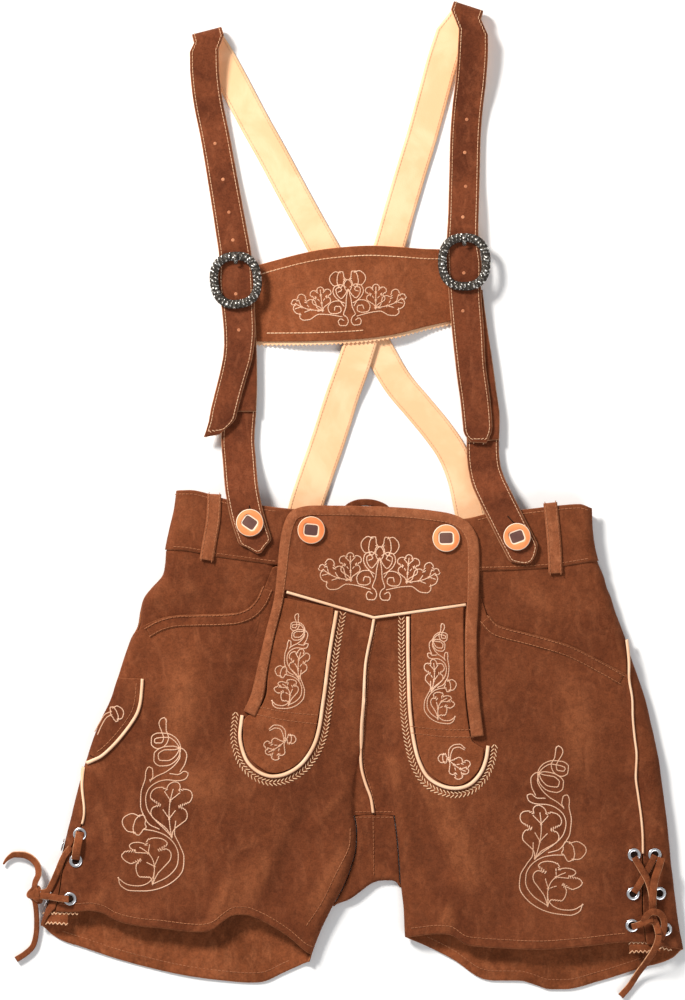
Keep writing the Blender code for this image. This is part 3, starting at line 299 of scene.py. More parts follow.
# %% Sections and panels
def section(side, y):
    """Outer surface across one half at one height: over the front, and back under it."""
    ease = (1 - np.cos(np.linspace(0, math.pi, 90))) / 2
    edge = side_edge(side, y)
    lines = []
    for centre, height in ((read_curve(CENTRE_SEAM, y), upper), (CENTRE_X, lower)):
        start = inner_fold(side, y) if below_crotch(y) else centre + side * SEAM_GAP / 2
        x = start + (edge - start) * ease
        lines.append(np.stack([x, height(side, x, y)], 1))
    return lines[0], lines[1][::-1]


def walk(side, line, places):
    """Rows of x, z and outward normal at places along a section."""
    along = lengths(line)
    tangent = np.gradient(line, along, axis=0)
    values = np.stack([line[:, 0], line[:, 1], -side * tangent[:, 1], side * tangent[:, 0]], 1)
    rows = np.stack([np.interp(places, along, c) for c in values.T], 1)
    rows[:, 2:] = unit(rows[:, 2:])
    return rows


def seam_place(side, y, front):
    """How far along the front the side seam lies."""
    seam = side_edge(side, y) - side * read_curve(SIDE_SEAM, y, half_column(side))
    return np.interp(side * seam, side * front[:, 0], lengths(front))


FOLD_COLUMNS = 12
FOLD_REACH = 1.6             # from a leg's inner fold to the first column beyond it


def places_from_fold(side, y, line, finish, shares):
    """Places along a section from the centre: a few up to the leg's inner fold, the rest beyond."""
    if below_crotch(y):
        start, fold = SEAM_GAP / 2, SEAM_GAP / 2 + FOLD_REACH
    else:
        fold_x = inner_fold(side, CROTCH_Y) + side * FOLD_REACH
        start, fold = 0, np.interp(side * fold_x, side * line[:, 0], lengths(line))
    near = start + (fold - start) * np.linspace(0, 1, FOLD_COLUMNS + 1)[:-1]
    return np.concatenate((near, fold + (finish - fold) * shares))


def cut_front(side, y, shares):
    """The front panel's outer surface at one height, from the centre to the side seam."""
    front, _ = section(side, y)
    finish = seam_place(side, y, front) - SEAM_GAP / 2
    return walk(side, front, places_from_fold(side, y, front, finish, shares))


def cut_back(side, y, shares):
    """The back panel's outer surface at one height, from the side seam round the fold to the centre."""
    front, back = section(side, y)
    ring = np.concatenate((front, back[1:]))
    whole, start = lengths(ring)[-1], seam_place(side, y, front) + SEAM_GAP / 2
    from_centre = places_from_fold(side, y, back[::-1], whole - start, shares)
    return walk(side, ring, whole - from_centre[::-1])


def meets(table, heights, rows, wrapped=None):
    """The height at which each column of a table meets an edge curve of y over x."""
    edge = read_curve(rows, table[..., 0])
    if wrapped:
        edge = np.where(table[..., 3] > 0, read_curve(wrapped, table[..., 0]), edge)
    above = heights[:, None] - edge
    found = []
    for gap in above.T:
        i = int(np.argmax(gap < 0))
        if gap[i] >= 0:
            i = len(gap) - 1
        i = max(i, 1)
        share = np.clip(gap[i - 1] / (gap[i - 1] - gap[i]), 0, 1)
        found.append(heights[i - 1] + (heights[i] - heights[i - 1]) * share)
    return found


def fill_columns(table, heights, starts, ends, rows):
    """Points and normals down each column of a table, between a start and an end height."""
    points, normals = np.zeros((rows, table.shape[1], 3)), np.zeros((rows, table.shape[1], 3))
    for c, (start, end) in enumerate(zip(starts, ends)):
        y = start + (end - start) * np.linspace(0, 1, rows)
        x, z, nx, nz = (np.interp(-y, -heights, table[:, c, k]) for k in range(4))
        points[:, c] = np.stack([x, y, z], 1)
        normals[:, c] = np.stack([nx, 0 * nx, nz], 1)
    return points, unit(normals)


PANEL_ROWS = (122, 62)       # rows of points above the crotch and below it
TOP_Y, HEM_Y = 12, -379      # a panel's edges are looked for between these heights


def panel_grid(side, cut, shares, top_rows, hem_rows, wrapped_hem=None):
    """A panel's outer points and normals, in rows from its top edge to the crotch and on to its hem."""
    parts = []
    spans = (np.linspace(TOP_Y, CROTCH_Y - 0.1, 170), np.linspace(CROTCH_Y - 0.9, HEM_Y, 100))
    for upper_part, heights, count in zip((True, False), spans, PANEL_ROWS):
        table = np.array([cut(side, y, shares) for y in heights])
        level = [heights[-1 if upper_part else 0]] * table.shape[1]
        starts = meets(table, heights, top_rows) if upper_part else level
        ends = level if upper_part else meets(table, heights, hem_rows, wrapped_hem)
        parts.append(fill_columns(table, heights, starts, ends, count))
    return tuple(np.concatenate(pair) for pair in zip(*parts))


def band_grid(side, x_inner, top_rows, bottom_rows, count, rows, back=False, low=-115):
    """Outer surface of a piece from a place in plan out to the side fold, between two edges."""
    heights = np.linspace(TOP_Y, low, 90)
    table = []
    for y in heights:
        front, under = section(side, y)
        if back:
            places = SEAM_GAP / 2 + (lengths(under)[-1] - SEAM_GAP / 2) * np.linspace(0, 1, count)
            table.append(walk(side, under, places))
        else:
            start = np.interp(side * x_inner, side * front[:, 0], lengths(front))
            reach = seam_place(side, y, front) - SEAM_GAP / 2 - start
            table.append(walk(side, front, start + reach * np.sin(np.linspace(0, math.pi / 2, count))))
    table = np.array(table)
    ends = [meets(table, heights, edge) for edge in (top_rows, bottom_rows)]
    return fill_columns(table, heights, *ends, rows)


def shifted(rows, down):
    return [(x, y - down) for x, y in rows]


# %% [markdown]
# ## Creases
# A garment that has been laid down is never smooth. A cloth simulation could drape it, but would not find
# the folds we want. So each main crease is one row of a table: a ridge or a trough with a
# bent centre line, its own width and height. A few long waves keep the plain areas alive.

# %% Crease table and relief
# Start x, y; middle x, y; end x, y; half width; height, where a trough is below 0.
CREASES = [
    (-13, -221, -40, -247, -53, -272, 6, 1.6), (-26, -228, -52, -262, -68, -300, 10, -2.2),
    (-62, -262, -75, -290, -92, -306, 12, 1.2), (-8, -250, -24, -290, -44, -322, 9, 0.9),
    (28, -214, 50, -258, 62, -302, 9, -1.9), (19, -186, 26, -212, 30, -240, 5, 1.1),
    (40, -205, 70, -250, 84, -300, 12, 1.4), (92, -250, 108, -290, 112, -326, 11, -0.9),
    (-24, -120, -20, -160, -14, -205, 7, -0.7), (12, -110, 14, -150, 22, -190, 7, -0.7),
    (-9, -110, -8, -160, -3, -200, 5, 0.5), (24, -105, 26, -150, 30, -180, 5, 0.5),
    (-112, -112, -95, -150, -88, -205, 14, -0.9), (-77, -92, -90, -135, -100, -178, 8, -1.3),
    (-128, -108, -138, -150, -140, -200, 15, 0.9),
    (-190, -140, -176, -190, -182, -240, 12, -0.8), (-165, -210, -120, -222, -80, -216, 16, 0.7),
    (110, -130, 128, -180, 132, -240, 16, -0.9), (150, -128, 165, -170, 168, -225, 15, 0.9),
    (186, -150, 196, -200, 204, -250, 11, -0.8), (120, -262, 160, -275, 200, -268, 15, 0.6),
    (-205, -285, -170, -300, -130, -298, 12, -0.7), (160, -300, 185, -312, 205, -330, 10, -0.8),
    (-112, -322, -104, -300, -98, -285, 7, 1.2), (60, -331, 66, -315, 64, -295, 7, 1.0),
    (-205, -312, -196, -298, -188, -290, 8, 0.9), (94, -338, 100, -322, 110, -305, 8, -0.9),
    (-108, -52, -104, -66, -92, -80, 6, -0.7), (-138, -60, -130, -70, -118, -78, 8, 0.6),
    (120, -62, 130, -76, 150, -90, 8, 0.6), (96, -62, 106, -76, 112, -90, 6, -0.7),
    (-120, -14, -132, -22, -142, -30, 5, 0.5), (150, -16, 160, -26, 172, -36, 5, 0.5),
    (-30, -24, 0, -30, 34, -26, 10, -0.5), (-40, -62, -10, -70, 20, -82, 8, 0.5),
]
WAVES = [(61, 20, 0.30, 0.4), (83, -38, 0.30, 2.0), (47, 75, 0.18, 1.1), (29, -12, 0.10, 3.0),
         (23, 55, 0.08, 5.1), (17, -64, 0.05, 0.7)]    # wavelength, direction in degrees, height, phase

CREASE_DEPTH = 1.9       # scales all the heights
CREASE_STEPS = 25        # places along a crease that distances are taken from


def crease_heights(x, y):
    """Sum of all the creases at places in plan."""
    x, y = np.asarray(x, float), np.asarray(y, float)
    total = np.zeros(x.shape)
    for x0, y0, x1, y1, x2, y2, width, height in CREASES:
        reach = 2.6 * width
        near = ((x > min(x0, x1, x2) - reach) & (x < max(x0, x1, x2) + reach)
                & (y > min(y0, y1, y2) - reach) & (y < max(y0, y1, y2) + reach))
        if not near.any():
            continue
        px, py = x[near], y[near]
        best, place = np.full(px.shape, 1e9), np.zeros(px.shape)
        for t in np.linspace(0, 1, CREASE_STEPS):
            cx = (1 - t)**2 * x0 + 2 * t * (1 - t) * x1 + t * t * x2
            cy = (1 - t)**2 * y0 + 2 * t * (1 - t) * y1 + t * t * y2
            distance = (px - cx)**2 + (py - cy)**2
            closer = distance < best
            best = np.where(closer, distance, best)
            place = np.where(closer, t, place)
        fade = np.sin(math.pi * np.clip(place * 0.86 + 0.07, 0, 1))
        total[near] += CREASE_DEPTH * height * fade * np.exp(-best / width**2)
    return total


def waviness(x, y):
    total = 0
    for wavelength, direction, height, phase in WAVES:
        turn = math.radians(direction)
        along = (x * math.cos(turn) + y * math.sin(turn)) / wavelength * 2 * math.pi
        total = total + height * np.sin(along + phase + 0.6 * np.sin(y / 31))
    return total


def relief(x, y):
    return crease_heights(x, y) + waviness(x, y)


def moved_out(points, normals, lift, hollow=0.0):
    """Points moved out by a lift and, where they face up, by the creases; what faces down may be hollowed."""
    x, y = points[..., 0], points[..., 1]
    facing = normals[..., 2]
    ripples = 0.5 + 0.5 * np.sin(x / 13.7 + 1.3 * np.sin(y / 21)) * np.sin(y / 17.3 + 0.9 * np.sin(x / 29))
    amount = lift + relief(x, y) * np.clip(facing, 0, 1) - hollow * ripples * np.clip(-facing, 0, 1)
    return points + normals * amount[..., None]


def on_front(x, y, lift):
    """Points at places on the creased front, moved out along its normal."""
    x, y = np.asarray(x, float), np.asarray(y, float)
    near = 0.4
    slope_x = (front_height(x + near, y) - front_height(x - near, y)) / (2 * near)
    slope_y = (front_height(x, y + near) - front_height(x, y - near)) / (2 * near)
    normals = unit(np.stack([-slope_x, -slope_y, np.ones_like(slope_x)], -1))
    base = np.stack([x, y, front_height(x, y)], -1)
    return moved_out(base, normals, np.broadcast_to(lift, x.shape))


print(len(CREASES), "creases by hand,", len(WAVES), "long waves")


# %% [markdown]
# ## Finishes
# Suede is the flesh side of a hide, sanded until its fibres stand up. It hardly shines: the eye reads the
# nap, darker or lighter where a hand has brushed it, over a fine grain, with paler cut edges. What several
# leathers share is a node group, so each material only sets its own colours and sizes.

# %% Node helpers
def add_node(tree, kind, links=None, **settings):
    """A node with its settings; links maps a socket's name or number to a value or a socket."""
    node = tree.nodes.new(kind)
    for key, value in settings.items():
        setattr(node, key, value)
    for socket, value in (links or {}).items():
        if isinstance(value, bpy.types.NodeSocket):
            tree.links.new(value, node.inputs[socket])
        else:
            node.inputs[socket].default_value = value
    return node


def group(name, **inputs):
    """An empty shader node group; an input's default, a colour or a number, gives its kind."""
    tree = bpy.data.node_groups.new(name, "ShaderNodeTree")
    for label, default in inputs.items():
        kind = "NodeSocketColor" if isinstance(default, tuple) else "NodeSocketFloat"
        socket = tree.interface.new_socket(label.replace("_", " "), in_out="INPUT", socket_type=kind)
        socket.default_value = default
    for label in ("Color", "Height", "Roughness"):
        kind = "NodeSocketColor" if label == "Color" else "NodeSocketFloat"
        tree.interface.new_socket(label, in_out="OUTPUT", socket_type=kind)
    return tree, tree.nodes.new("NodeGroupInput").outputs, tree.nodes.new("NodeGroupOutput").inputs


def blend_colours(tree, share, first, second, kind="MIX"):
    node = add_node(tree, "ShaderNodeMix", {0: share, 6: first, 7: second}, data_type="RGBA", blend_type=kind)
    return node.outputs[2]


def steps(tree, value, low, high, to_low=0.0, to_high=1.0):
    """A value's range from low to high, mapped smoothly on another range."""
    return first_output(tree, "ShaderNodeMapRange", {0: value, 1: low, 2: high, 3: to_low, 4: to_high},
                        interpolation_type="SMOOTHSTEP")


def first_output(*node, **settings):
    return add_node(*node, **settings).outputs[0]


def stored(tree, name):
    """A value kept on the mesh's points."""
    return add_node(tree, "ShaderNodeAttribute", attribute_name=name).outputs["Fac"]


def object_place(tree):
    return add_node(tree, "ShaderNodeTexCoord").outputs["Object"]


def combine(tree, operation, first, second):
    return first_output(tree, "ShaderNodeMath", {0: first, 1: second}, operation=operation)


def times(tree, first, second):
    return combine(tree, "MULTIPLY", first, second)


def noise(tree, place, scale, detail=2.0, distortion=0.0, roughness=0.5):
    links = {"Vector": place, "Scale": scale, "Detail": detail, "Distortion": distortion,
             "Roughness": roughness}
    return add_node(tree, "ShaderNodeTexNoise", links).outputs["Fac"]


# %% [markdown]
# The nap mixes layers of noise: wide clouds where the hide took the dye, brushing stretched along the
# garment, and fine grain. It also reads two values stored on the mesh: how near a point is to a cut edge,
# and how high it stands on a crease. Ridges are lightened as rubbed nap mixed with a painted highlight,
# and troughs are darkened as painted shade.

# %% Group: suede nap
def make_nap():
    tree, into, out = group(
        "suede nap", Base=(0.2, 0.06, 0.02, 1), Dark=(0.1, 0.03, 0.01, 1), Rubbed=(0.35, 0.12, 0.05, 1),
        Edge=(0.4, 0.2, 0.1, 1), Mottle_scale=22.0, Grain_scale=900.0)
    place = object_place(tree)
    brushed = first_output(tree, "ShaderNodeMapping", {"Vector": place, "Rotation": (0, 0, 0.5),
                                                       "Scale": (1, 0.45, 1)})
    mottle = noise(tree, place, into["Mottle scale"], 5, 0.8, 0.62)
    brushing = noise(tree, brushed, times(tree, into["Mottle scale"], 4.2), 4, 1.4, 0.6)
    grain = noise(tree, place, into["Grain scale"], 3, 0.2, 0.65)
    clumps = noise(tree, place, times(tree, into["Grain scale"], 0.28), 2, 0.6, 0.6)
    colour = blend_colours(tree, steps(tree, mottle, 0.3, 0.68), into["Dark"], into["Base"])
    rubbing = times(tree, steps(tree, brushing, 0.45, 0.75), 0.4)
    # Crease height: ridges get rubbed nap mixed with a painted highlight, and troughs get painted shade
    raised = stored(tree, "crease")
    ridge_rub_and_highlight = times(tree, steps(tree, raised, 0.1, 1.6), steps(tree, brushing, 0.3, 0.6, 0.25, 0.7))
    colour = blend_colours(tree, combine(tree, "MAXIMUM", rubbing, ridge_rub_and_highlight), colour, into["Rubbed"])
    # Painted shade: crease troughs are darkened towards the Dark colour
    trough_shade = times(tree, steps(tree, times(tree, raised, -1.0), 0.1, 1.8), 0.4)
    colour = blend_colours(tree, trough_shade, colour, into["Dark"])
    shade = combine(tree, "ADD", steps(tree, grain, 0.3, 0.7, -0.16, 0.16),
                    steps(tree, clumps, 0.3, 0.7, 0.88, 1.12))
    grey = first_output(tree, "ShaderNodeCombineColor", {0: shade, 1: shade, 2: shade})
    colour = blend_colours(tree, 1.0, colour, grey, "MULTIPLY")
    rim = stored(tree, "rim")
    edge = times(tree, steps(tree, rim, 0.35, 1.0), steps(tree, clumps, 0.3, 0.6, 0.35, 0.9))
    colour = blend_colours(tree, edge, colour, into["Edge"])
    tree.links.new(colour, out["Color"])
    height = combine(tree, "ADD", times(tree, grain, 0.5), times(tree, clumps, 0.5))
    tree.links.new(height, out["Height"])
    tree.links.new(steps(tree, brushing, 0.4, 0.7, 0.98, 0.86), out["Roughness"])
    return tree


# %% [markdown]
# The lining and the piping are smooth grain leather: an even colour with soft clouds, fine pores and a
# little shine. Pores are the cells of a Voronoi pattern, pressed in, which is close to real hair pores.

# %% Group: smooth leather
def make_smooth_leather():
    tree, into, out = group("smooth leather", Base=(0.9, 0.6, 0.3, 1), Cloud=(0.8, 0.5, 0.25, 1),
                            Pore_scale=1400.0)
    place = object_place(tree)
    clouds = noise(tree, place, 26.0, 4, 0.5, 0.6)
    pores = add_node(tree, "ShaderNodeTexVoronoi", {"Vector": place, "Scale": into["Pore scale"],
                                                    "Randomness": 0.9}).outputs["Distance"]
    wrinkles = noise(tree, place, 520.0, 3, 1.2, 0.6)
    colour = blend_colours(tree, steps(tree, clouds, 0.38, 0.66), into["Cloud"], into["Base"])
    rim = stored(tree, "rim")
    colour = blend_colours(tree, times(tree, steps(tree, rim, 0.3, 1.0), 0.5), colour, into["Cloud"])
    tree.links.new(colour, out["Color"])
    height = combine(tree, "ADD", times(tree, pores, 0.6), times(tree, wrinkles, 0.4))
    tree.links.new(height, out["Height"])
    tree.links.new(steps(tree, wrinkles, 0.3, 0.7, 0.46, 0.62), out["Roughness"])
    return tree


# %% [markdown]
# Cast silver that has been darkened and then rubbed keeps its black in the hollows and shines on what
# stands up. The height of the casting is stored on the mesh, so the group only has to read it.

# %% Group: tarnished metal
def make_tarnish():
    tree, into, out = group("tarnished metal", Bright=(0.6, 0.6, 0.6, 1), Black=(0.02, 0.02, 0.02, 1))
    place = object_place(tree)
    cast = stored(tree, "cast")
    dirt = noise(tree, place, 700.0, 3, 0.4, 0.6)
    shine = steps(tree, combine(tree, "ADD", cast, steps(tree, dirt, 0.3, 0.7, -0.22, 0.22)), 0.3, 0.8)
    tree.links.new(blend_colours(tree, shine, into["Black"], into["Bright"]), out["Color"])
    tree.links.new(combine(tree, "SUBTRACT", 0.62, times(tree, shine, 0.36)), out["Roughness"])
    tree.links.new(dirt, out["Height"])
    return tree


GROUPS = {"nap": make_nap(), "smooth": make_smooth_leather(), "tarnish": make_tarnish()}
print("node groups:", ", ".join(tree.name for tree in GROUPS.values()))

# %% [markdown]
# Each material is then a short recipe: its group's own colours and sizes, a bump in real millimetres, and
# on the shader the few numbers that are the same all over, such as sheen on a nap or metal on a buckle.

# %% Materials
def srgb(red, green, blue):
    """A display colour, 0 to 255, as linear light."""
    return tuple((c / 255 / 12.92) if c / 255 <= 0.04045 else ((c / 255 + 0.055) / 1.055)**2.4
                 for c in (red, green, blue)) + (1.0,)


def make_material(name, kind, inputs, bump, **shader_values):
    """A material whose colour, roughness and bump come from a shared group."""
    material = bpy.data.materials.new(name)
    material.use_nodes = True
    tree = material.node_tree
    shader = tree.nodes["Principled BSDF"]
    maker = add_node(tree, "ShaderNodeGroup", node_tree=GROUPS[kind])
    for socket, value in inputs.items():
        maker.inputs[socket].default_value = value
    tree.links.new(maker.outputs["Color"], shader.inputs["Base Color"])
    tree.links.new(maker.outputs["Roughness"], shader.inputs["Roughness"])
    bumps = add_node(tree, "ShaderNodeBump", {"Strength": 0.75, "Distance": bump * MM,
                                              "Height": maker.outputs["Height"]})
    tree.links.new(bumps.outputs["Normal"], shader.inputs["Normal"])
    for socket, value in shader_values.items():
        shader.inputs[socket.replace("_", " ")].default_value = value
    return material


# The third colour is rubbed nap and also the painted highlight on crease ridges; the dark one is also painted
# shade in crease troughs
def suede(name, base, dark, rubbed_and_highlight, edge, mottle=20.0, grain=950.0):
    colours = {"Base": srgb(*base), "Dark": srgb(*dark), "Rubbed": srgb(*rubbed_and_highlight), "Edge": srgb(*edge),
               "Mottle scale": mottle, "Grain scale": grain}
    return make_material(name, "nap", colours, 0.5, Specular_IOR_Level=0.12, Sheen_Weight=0.18,
                         Sheen_Roughness=0.45, Sheen_Tint=srgb(222, 160, 120))


def leather(name, base, cloud, pores, shine=0.35):
    colours = {"Base": srgb(*base), "Cloud": srgb(*cloud), "Pore scale": pores}
    return make_material(name, "smooth", colours, 0.12, Specular_IOR_Level=shine)


def metal(name, bright, black, bump, metallic):
    return make_material(name, "tarnish", {"Bright": srgb(*bright), "Black": srgb(*black)}, bump,
                         Metallic=metallic)


# In each suede the third colour is rubbed nap and also the painted highlight on ridges; the second is dark
# mottle and also painted shade in troughs
MATERIALS = {
    "suede": suede("brown_suede", (114, 60, 34), (93, 46, 25), (141, 80, 48), (156, 95, 60)),
    "yoke": suede("yoke_suede", (124, 67, 39), (106, 55, 31), (147, 85, 53), (164, 100, 64)),
    "upper": suede("upper_suede", (132, 72, 42), (116, 61, 34), (154, 90, 56), (172, 106, 68)),
    "inside": suede("suede_inside", (136, 74, 43), (104, 54, 29), (160, 94, 58), (176, 112, 72), 26.0, 800.0),
    "band": suede("suede_folded_band", (146, 85, 54), (126, 69, 41), (172, 108, 72), (168, 104, 68),
                  34.0, 1100.0),
    "strap": suede("strap_suede", (112, 58, 34), (86, 42, 24), (140, 78, 48), (214, 160, 118), 24.0, 1000.0),
    "lace": suede("lace_suede", (134, 73, 42), (104, 54, 30), (158, 93, 57), (226, 172, 130), 60.0, 1200.0),
    "lining": leather("tan_lining", (251, 203, 158), (243, 188, 140), 1300.0),
    "piping": leather("light_piping", (248, 206, 170), (236, 184, 144), 1700.0, 0.45),
    "tab": leather("pinked_tab_edge", (214, 160, 116), (196, 138, 96), 1500.0, 0.2),
    "silver": metal("antique_silver", (226, 222, 214), (70, 64, 58), 0.1, 0.9),
    "chrome": metal("chrome", (232, 232, 234), (150, 150, 152), 0.02, 1.0),
    "cream_thread": leather("cream_thread", (234, 192, 162), (212, 166, 134), 5200.0, 0.3),
    "strap_thread": leather("strap_thread", (238, 192, 152), (216, 164, 124), 5200.0, 0.3),
    "brown_thread": leather("brown_thread", (176, 112, 74), (150, 90, 56), 5200.0, 0.25),
    "braid_thread": leather("braid_thread", (238, 196, 156), (216, 168, 128), 5200.0, 0.3),
    "horn": leather("horn_ring", (238, 148, 88), (226, 122, 62), 400.0, 0.5),
    "horn_rim": leather("cream_rim", (250, 222, 196), (238, 200, 168), 400.0, 0.5),
    "patch": leather("button_patch", (110, 74, 64), (88, 56, 50), 1500.0, 0.3),
}
print(len(MATERIALS), "materials")

# %% [markdown]
# ## From a grid to a piece of hide
# Every cut piece is a grid of points for its good side and a second grid one thickness below. A rounded
# rim between them gives a closed wall with the soft cut edge of suede. The uncreased grid also says how
# big the piece was flat on the cutting table, which is measured here.

# %% Walls of cloth
def facing_out(mesh):
    """Turn a closed mesh the right way if its volume comes out below nought."""
    mesh.calc_loop_triangles()
    points = np.zeros(len(mesh.vertices) * 3)
    mesh.vertices.foreach_get("co", points)
    corners = np.zeros(len(mesh.loop_triangles) * 3, dtype=np.int64)
    mesh.loop_triangles.foreach_get("vertices", corners)
    a, b, c = points.reshape(-1, 3)[corners.reshape(-1, 3)].transpose(1, 0, 2)
    if np.einsum("ij,ij->i", a, np.cross(b, c)).sum() < 0:
        mesh.flip_normals()


def add_piece(name, points, faces, materials, slots=None, values=None):
    """A smooth mesh from points in millimetres; values maps an attribute's name to its numbers."""
    mesh = bpy.data.meshes.new(name)
    mesh.from_pydata((np.asarray(points) * MM).tolist(), [], [list(map(int, face)) for face in faces])
    for material in materials:
        mesh.materials.append(MATERIALS[material])
    if slots is not None:
        mesh.polygons.foreach_set("material_index", np.asarray(slots, dtype=np.int32))
    for label, numbers in (values or {}).items():
        attribute = mesh.attributes.new(label, "FLOAT", "POINT")
        attribute.data.foreach_set("value", np.asarray(numbers, dtype=np.float32))
    mesh.shade_smooth()
    facing_out(mesh)
    piece = bpy.data.objects.new(name, mesh)
    bpy.context.collection.objects.link(piece)
    return piece


def pulled_in(layer, amount):
    """A layer whose border is drawn in a little, so that the rim can be round."""
    layer = layer.copy()
    for turned in (False, True):
        view = layer.transpose(1, 0, 2) if turned else layer
        for border, inner in ((0, 1), (-1, -2)):
            step = view[border] - view[inner]
            length = np.maximum(np.linalg.norm(step, axis=1, keepdims=True), 1e-6)
            view[border] -= step / length * np.minimum(amount, 0.6 * length)
    return layer


def cloth(name, outer, inner, materials=("suede", "suede"), round_rim=0.4):
    """A closed wall between two grids that match, with a rounded rim. The second material is inside."""
    rows, cols = outer.shape[:2]
    layers = [pulled_in(outer, round_rim), pulled_in(inner, round_rim)]
    index = np.arange(rows * cols).reshape(rows, cols)
    quads = np.stack([index[:-1, :-1], index[:-1, 1:], index[1:, 1:], index[1:, :-1]], -1).reshape(-1, 4)
    border = np.concatenate((index[0], index[1:, -1], index[-1, -2::-1], index[-2:0:-1, 0]))
    rim_start = 2 * rows * cols
    ring = np.arange(len(border))
    after = np.roll(ring, -1)
    upper_rim = np.stack([border, ring + rim_start, after + rim_start, border[after]], -1)
    lower_rim = np.stack([ring + rim_start, border + rows * cols, border[after] + rows * cols,
                          after + rim_start], -1)
    middle = ((outer + inner) / 2).reshape(-1, 3)[border]
    points = np.concatenate((layers[0].reshape(-1, 3), layers[1].reshape(-1, 3), middle))
    faces = np.concatenate((quads[:, ::-1], quads + rows * cols, upper_rim[:, ::-1], lower_rim[:, ::-1]))
    slots = np.repeat((0, 1, 0, 1), (len(quads), len(quads), len(border), len(border)))
    edge = np.full((rows, cols), 0.6)
    edge[1:-1, 1:-1] = 0
    rim = np.concatenate((edge.ravel(), edge.ravel(), np.ones(len(border))))
    # Crease heights for the nap's painted highlight on ridges and painted shade in troughs; the inner face gets
    # them turned over
    folds = crease_heights(points[:, 0], points[:, 1])
    folds[rows * cols:2 * rows * cols] *= -1
    return add_piece(name, points, faces, materials, slots, {"rim": rim, "crease": folds})


def flat_size(grid):
    """Width, length and area in metres of a grid laid out flat."""
    across = np.linalg.norm(np.diff(grid, axis=1), axis=2)
    down = np.linalg.norm(np.diff(grid, axis=0), axis=2)
    cells = np.cross(grid[1:, 1:] - grid[:-1, :-1], grid[1:, :-1] - grid[:-1, 1:])
    area = np.linalg.norm(cells, axis=2).sum() / 2
    return (across.sum(1).max() * MM, down.sum(0).max() * MM), float(area * MM * MM)


WIDTH_OF_A_SHEET = 0.010      # a strip narrower than this is a trim


def settle(piece, slot, replaced=(), grid=None, held="laid", rests_on=()):
    """The piece rides with the garment and stands for its solid; the slot is not used."""
    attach(piece, "root")
    if replaced:
        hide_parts(*([replaced] if isinstance(replaced, str) else replaced))
    if grid is not None:
        size, area = flat_size(grid)
        if min(size) >= WIDTH_OF_A_SHEET:
            print(f"{piece.name}: cut {size[0] / MM:.0f} x {size[1] / MM:.0f} mm, {area * 1e4:.0f} cm2")
    return piece


def lay_panel(name, grids, lift, thickness, hollow=0.0, **settled):
    """A creased panel from its outer grid and normals."""
    outer, inner = (moved_out(*grids, depth, hollow) for depth in (lift, lift - thickness))
    return settle(cloth(name, outer, inner, ("suede", "inside")), "brown_suede", name, grids[0], **settled)


def between(left, right, cols):
    """Grid in plan between two paths that match point by point."""
    shares = np.linspace(0, 1, cols)
    return left[:, None, :] + (right - left)[:, None, :] * shares[None, :, None]


def lay_patch(name, plan, lift, thickness, materials=("suede", "suede"), crown=0.0, slot="brown_suede",
              round_rim=0.3, **settled):
    """A piece sewn on the front over a grid in plan; its middle may stand up by a crown."""
    across = np.linspace(-1, 1, plan.shape[1])
    rise = crown * np.sqrt(np.maximum(1 - across**2, 0))
    top = on_front(plan[..., 0], plan[..., 1], lift + thickness - crown + rise)
    bottom = on_front(plan[..., 0], plan[..., 1], lift)
    piece = cloth(name, top, bottom, materials, round_rim)
    return settle(piece, slot, name, bottom, **settled)


def ribbon_normals(grid):
    """Normals of a ribbon, turned so that they point up where it starts."""
    normals = unit(np.cross(np.gradient(grid, axis=1), np.gradient(grid, axis=0)))
    return -normals if np.mean(normals[:len(grid) // 3, :, 2]) < 0 else normals


def side_step(path):
    """Unit directions to the left of a path in plan."""
    along = unit(np.gradient(path[:, :2], axis=0))
    return np.stack([-along[:, 1], along[:, 0]], 1)


def strip_plan(points, width, cols, step=2.0):
    """Grid in plan along a path; points may have a third column for the width."""
    path = smooth_path(points, step=step)
    half = (path[:, 2:3] if path.shape[1] > 2 else np.full((len(path), 1), float(width))) / 2
    left = side_step(path)
    return between(path[:, :2] + left * half, path[:, :2] - left * half, cols)


# %% [markdown]
# ## The trousers
# Two fronts and two backs make the tube. The backs are wider and come round the side folds, so the side
# seams lie a little on top, as on a real pair. Points sit close together at folds and edges, where the
# form turns, and further apart in between.

# %% Fronts and backs
def eased(count):
    """Shares from 0 to 1 that lie closer together at both ends."""
    t = np.linspace(-1, 1, count)
    return (1 + np.sign(t) * (1 - (1 - np.abs(t))**1.35)) / 2


def front_top(side):
    """Top edge of a front panel: the pocket mouth, then the waistband's seam under the flap."""
    seam = [(-59, -53), (9, -56.5), (84, -57.5)]
    return MOUTH_L[:-1] + seam[:2] if side < 0 else seam[1:] + MOUTH_R[1:]


SIDES = ((-1, "_l"), (1, "_r"))
for side, end in SIDES:
    front = panel_grid(side, cut_front, eased(86), shifted(front_top(side), 0.2),
                       FRONT_HEM_L if side < 0 else FRONT_HEM_R)
    lay_panel("front" + end, front, 0.0, SUEDE, rests_on=["back" + end])
    back = panel_grid(side, cut_back, eased(100), shifted(WAIST_SEAM, 0.2),
                      BACK_HEM_L if side < 0 else BACK_HEM_R, WRAPPED_HEM[end])
    lay_panel("back" + end, back, 0.0, SUEDE, hollow=0.5)

# %% [markdown]
# The hip pieces show above the slanted pocket mouths and carry the pocket bags. The waistband is two
# layers thick and stands a little proud of everything below it.

